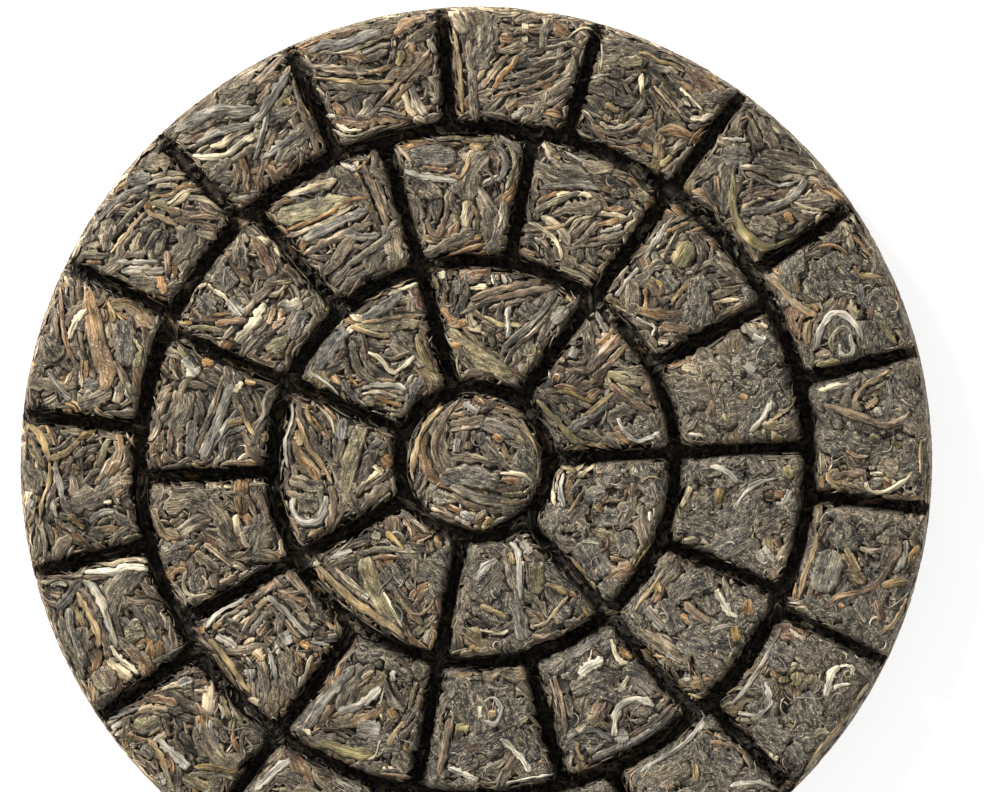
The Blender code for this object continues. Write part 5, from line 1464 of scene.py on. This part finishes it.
fine, coarse = ((1.4, 4.0), (0.5, 1.1), 0.3), ((2.5, 6.0), (1.0, 2.0), 0.2)
crumbs = gather([
    lay_random(
        draws, scored_side, count, 5, THIN_ACROSS, 0.65, favour, length=length, width=width, lowered=lowered,
        thickness=(0.25, 0.45), bend=0.6, loose=2.0,
    )
    for draws, count, favour, (length, width, lowered) in (
        (rng, 1500, None, fine), (rng, 1500, None, fine), (np.random.default_rng(12), 500, on_side_wall, coarse),
    )
])
join_cake(
    leaf_mesh("crumbs", scored_side, crumbs, THIN_ACROSS, THIN_SECTION),
    leaf_material("broken_leaf", CRUMB_TONES, edge_highlight=0.3),
)

# ---- Underside ----
# The back of the cake lay on a flat plate: broad leaves and strands, pressed level.

level_leaves = gather([
    lay_random(
        rng, underside, count, 9, BROAD_ACROSS, 0.7, length=length, width=width, thickness=(0.15, 0.25),
        **open_shape,
    )
    for count, length, width in ((260, (16, 30), (6, 12)), (260, (10, 22), (5, 9)), (240, (8, 18), (4, 8)))
])
join_cake(
    leaf_mesh("underside_leaves", underside, level_leaves, BROAD_ACROSS, BROAD_SECTION, ridges=0.2, ripple=0.08),
    open_leaf,
)
level_strands = gather([
    lay_random(
        rng, underside, 60, 7, STRAND_ACROSS, 0.9, length=(7, 20), width=(1.8, 4.2), thickness=(0.35, 0.5),
        bend=0.7, wave=0.45, lowered=0.12, loose=0.35, sheaf=3,
    )
    for _ in range(3)
])
join_cake(leaf_mesh("underside_strands", underside, level_strands, STRAND_ACROSS, STRAND_SECTION), rolled_leaf)

# ---- Floor, light and camera ----
# A plain pale floor that gives some light of its own, one soft lamp at the upper left as in the
# photograph, and a soft sky.

bpy.ops.object.select_all(action="DESELECT")
bpy.ops.mesh.primitive_plane_add(size=12.0, location=(0, 0, -0.2 * MM))
floor = bpy.context.active_object
floor.name = "floor"
pale_floor, tree = new_material("pale_floor")
surface = add_node(tree, "ShaderNodeBsdfPrincipled", {
    "Base Color": srgb("#969696"), "Roughness": 0.9, "Emission Color": srgb("#ffffff"), "Emission Strength": 0.8,
})
tree.links.new(surface.outputs[0], tree.nodes["Material Output"].inputs["Surface"])
floor.data.materials.append(pale_floor)

PIXELS = (1000, 792)
CAKE_MIDDLE_PIXEL = (474.5, 462.5)  # where the middle of the face lies in the picture
PIXELS_PER_MM = 4.60
CAMERA_DISTANCE = 4.0
CAMERA_TILT = math.radians(1.3)
SENSOR = 36.0

aim = (
    (PIXELS[0] / 2 - CAKE_MIDDLE_PIXEL[0]) / PIXELS_PER_MM * MM,
    (CAKE_MIDDLE_PIXEL[1] - PIXELS[1] / 2) / PIXELS_PER_MM * MM,
    FACE_HEIGHT * MM,
)
camera_data = bpy.data.cameras.new("camera")
camera_data.sensor_width = SENSOR
camera_data.lens = PIXELS_PER_MM / MM * CAMERA_DISTANCE * SENSOR / PIXELS[0]
camera = bpy.data.objects.new("camera", camera_data)
camera.location = (
    aim[0] + CAMERA_DISTANCE * math.sin(CAMERA_TILT), aim[1], aim[2] + CAMERA_DISTANCE * math.cos(CAMERA_TILT)
)
camera.rotation_euler = (0.0, CAMERA_TILT, 0.0)
camera_data.clip_start, camera_data.clip_end = 0.01, 30.0
bpy.context.scene.collection.objects.link(camera)
bpy.context.scene.camera = camera

LAMP_DISTANCE, LAMP_SIZE, LAMP_POWER = 1.2, 0.4, 27.0
LAMP_HEIGHT, LAMP_SIDE = math.radians(36), math.radians(135)
SKY_STRENGTH = 0.62

lamp_data = bpy.data.lights.new("lamp", "AREA")
lamp_data.shape, lamp_data.size, lamp_data.energy = "DISK", LAMP_SIZE, LAMP_POWER
lamp = bpy.data.objects.new("lamp", lamp_data)
lamp.location = (
    LAMP_DISTANCE * math.cos(LAMP_HEIGHT) * math.cos(LAMP_SIDE),
    LAMP_DISTANCE * math.cos(LAMP_HEIGHT) * math.sin(LAMP_SIDE),
    LAMP_DISTANCE * math.sin(LAMP_HEIGHT),
)
lamp.rotation_euler = (math.radians(90) - LAMP_HEIGHT, 0.0, LAMP_SIDE + math.radians(90))
bpy.context.scene.collection.objects.link(lamp)

sky = bpy.data.worlds.new("sky")
sky.use_nodes = True
background = sky.node_tree.nodes["Background"].inputs
background["Color"].default_value = (1, 1, 1, 1)
background["Strength"].default_value = SKY_STRENGTH
bpy.context.scene.world = sky
bpy.context.scene.view_settings.view_transform = "Standard"
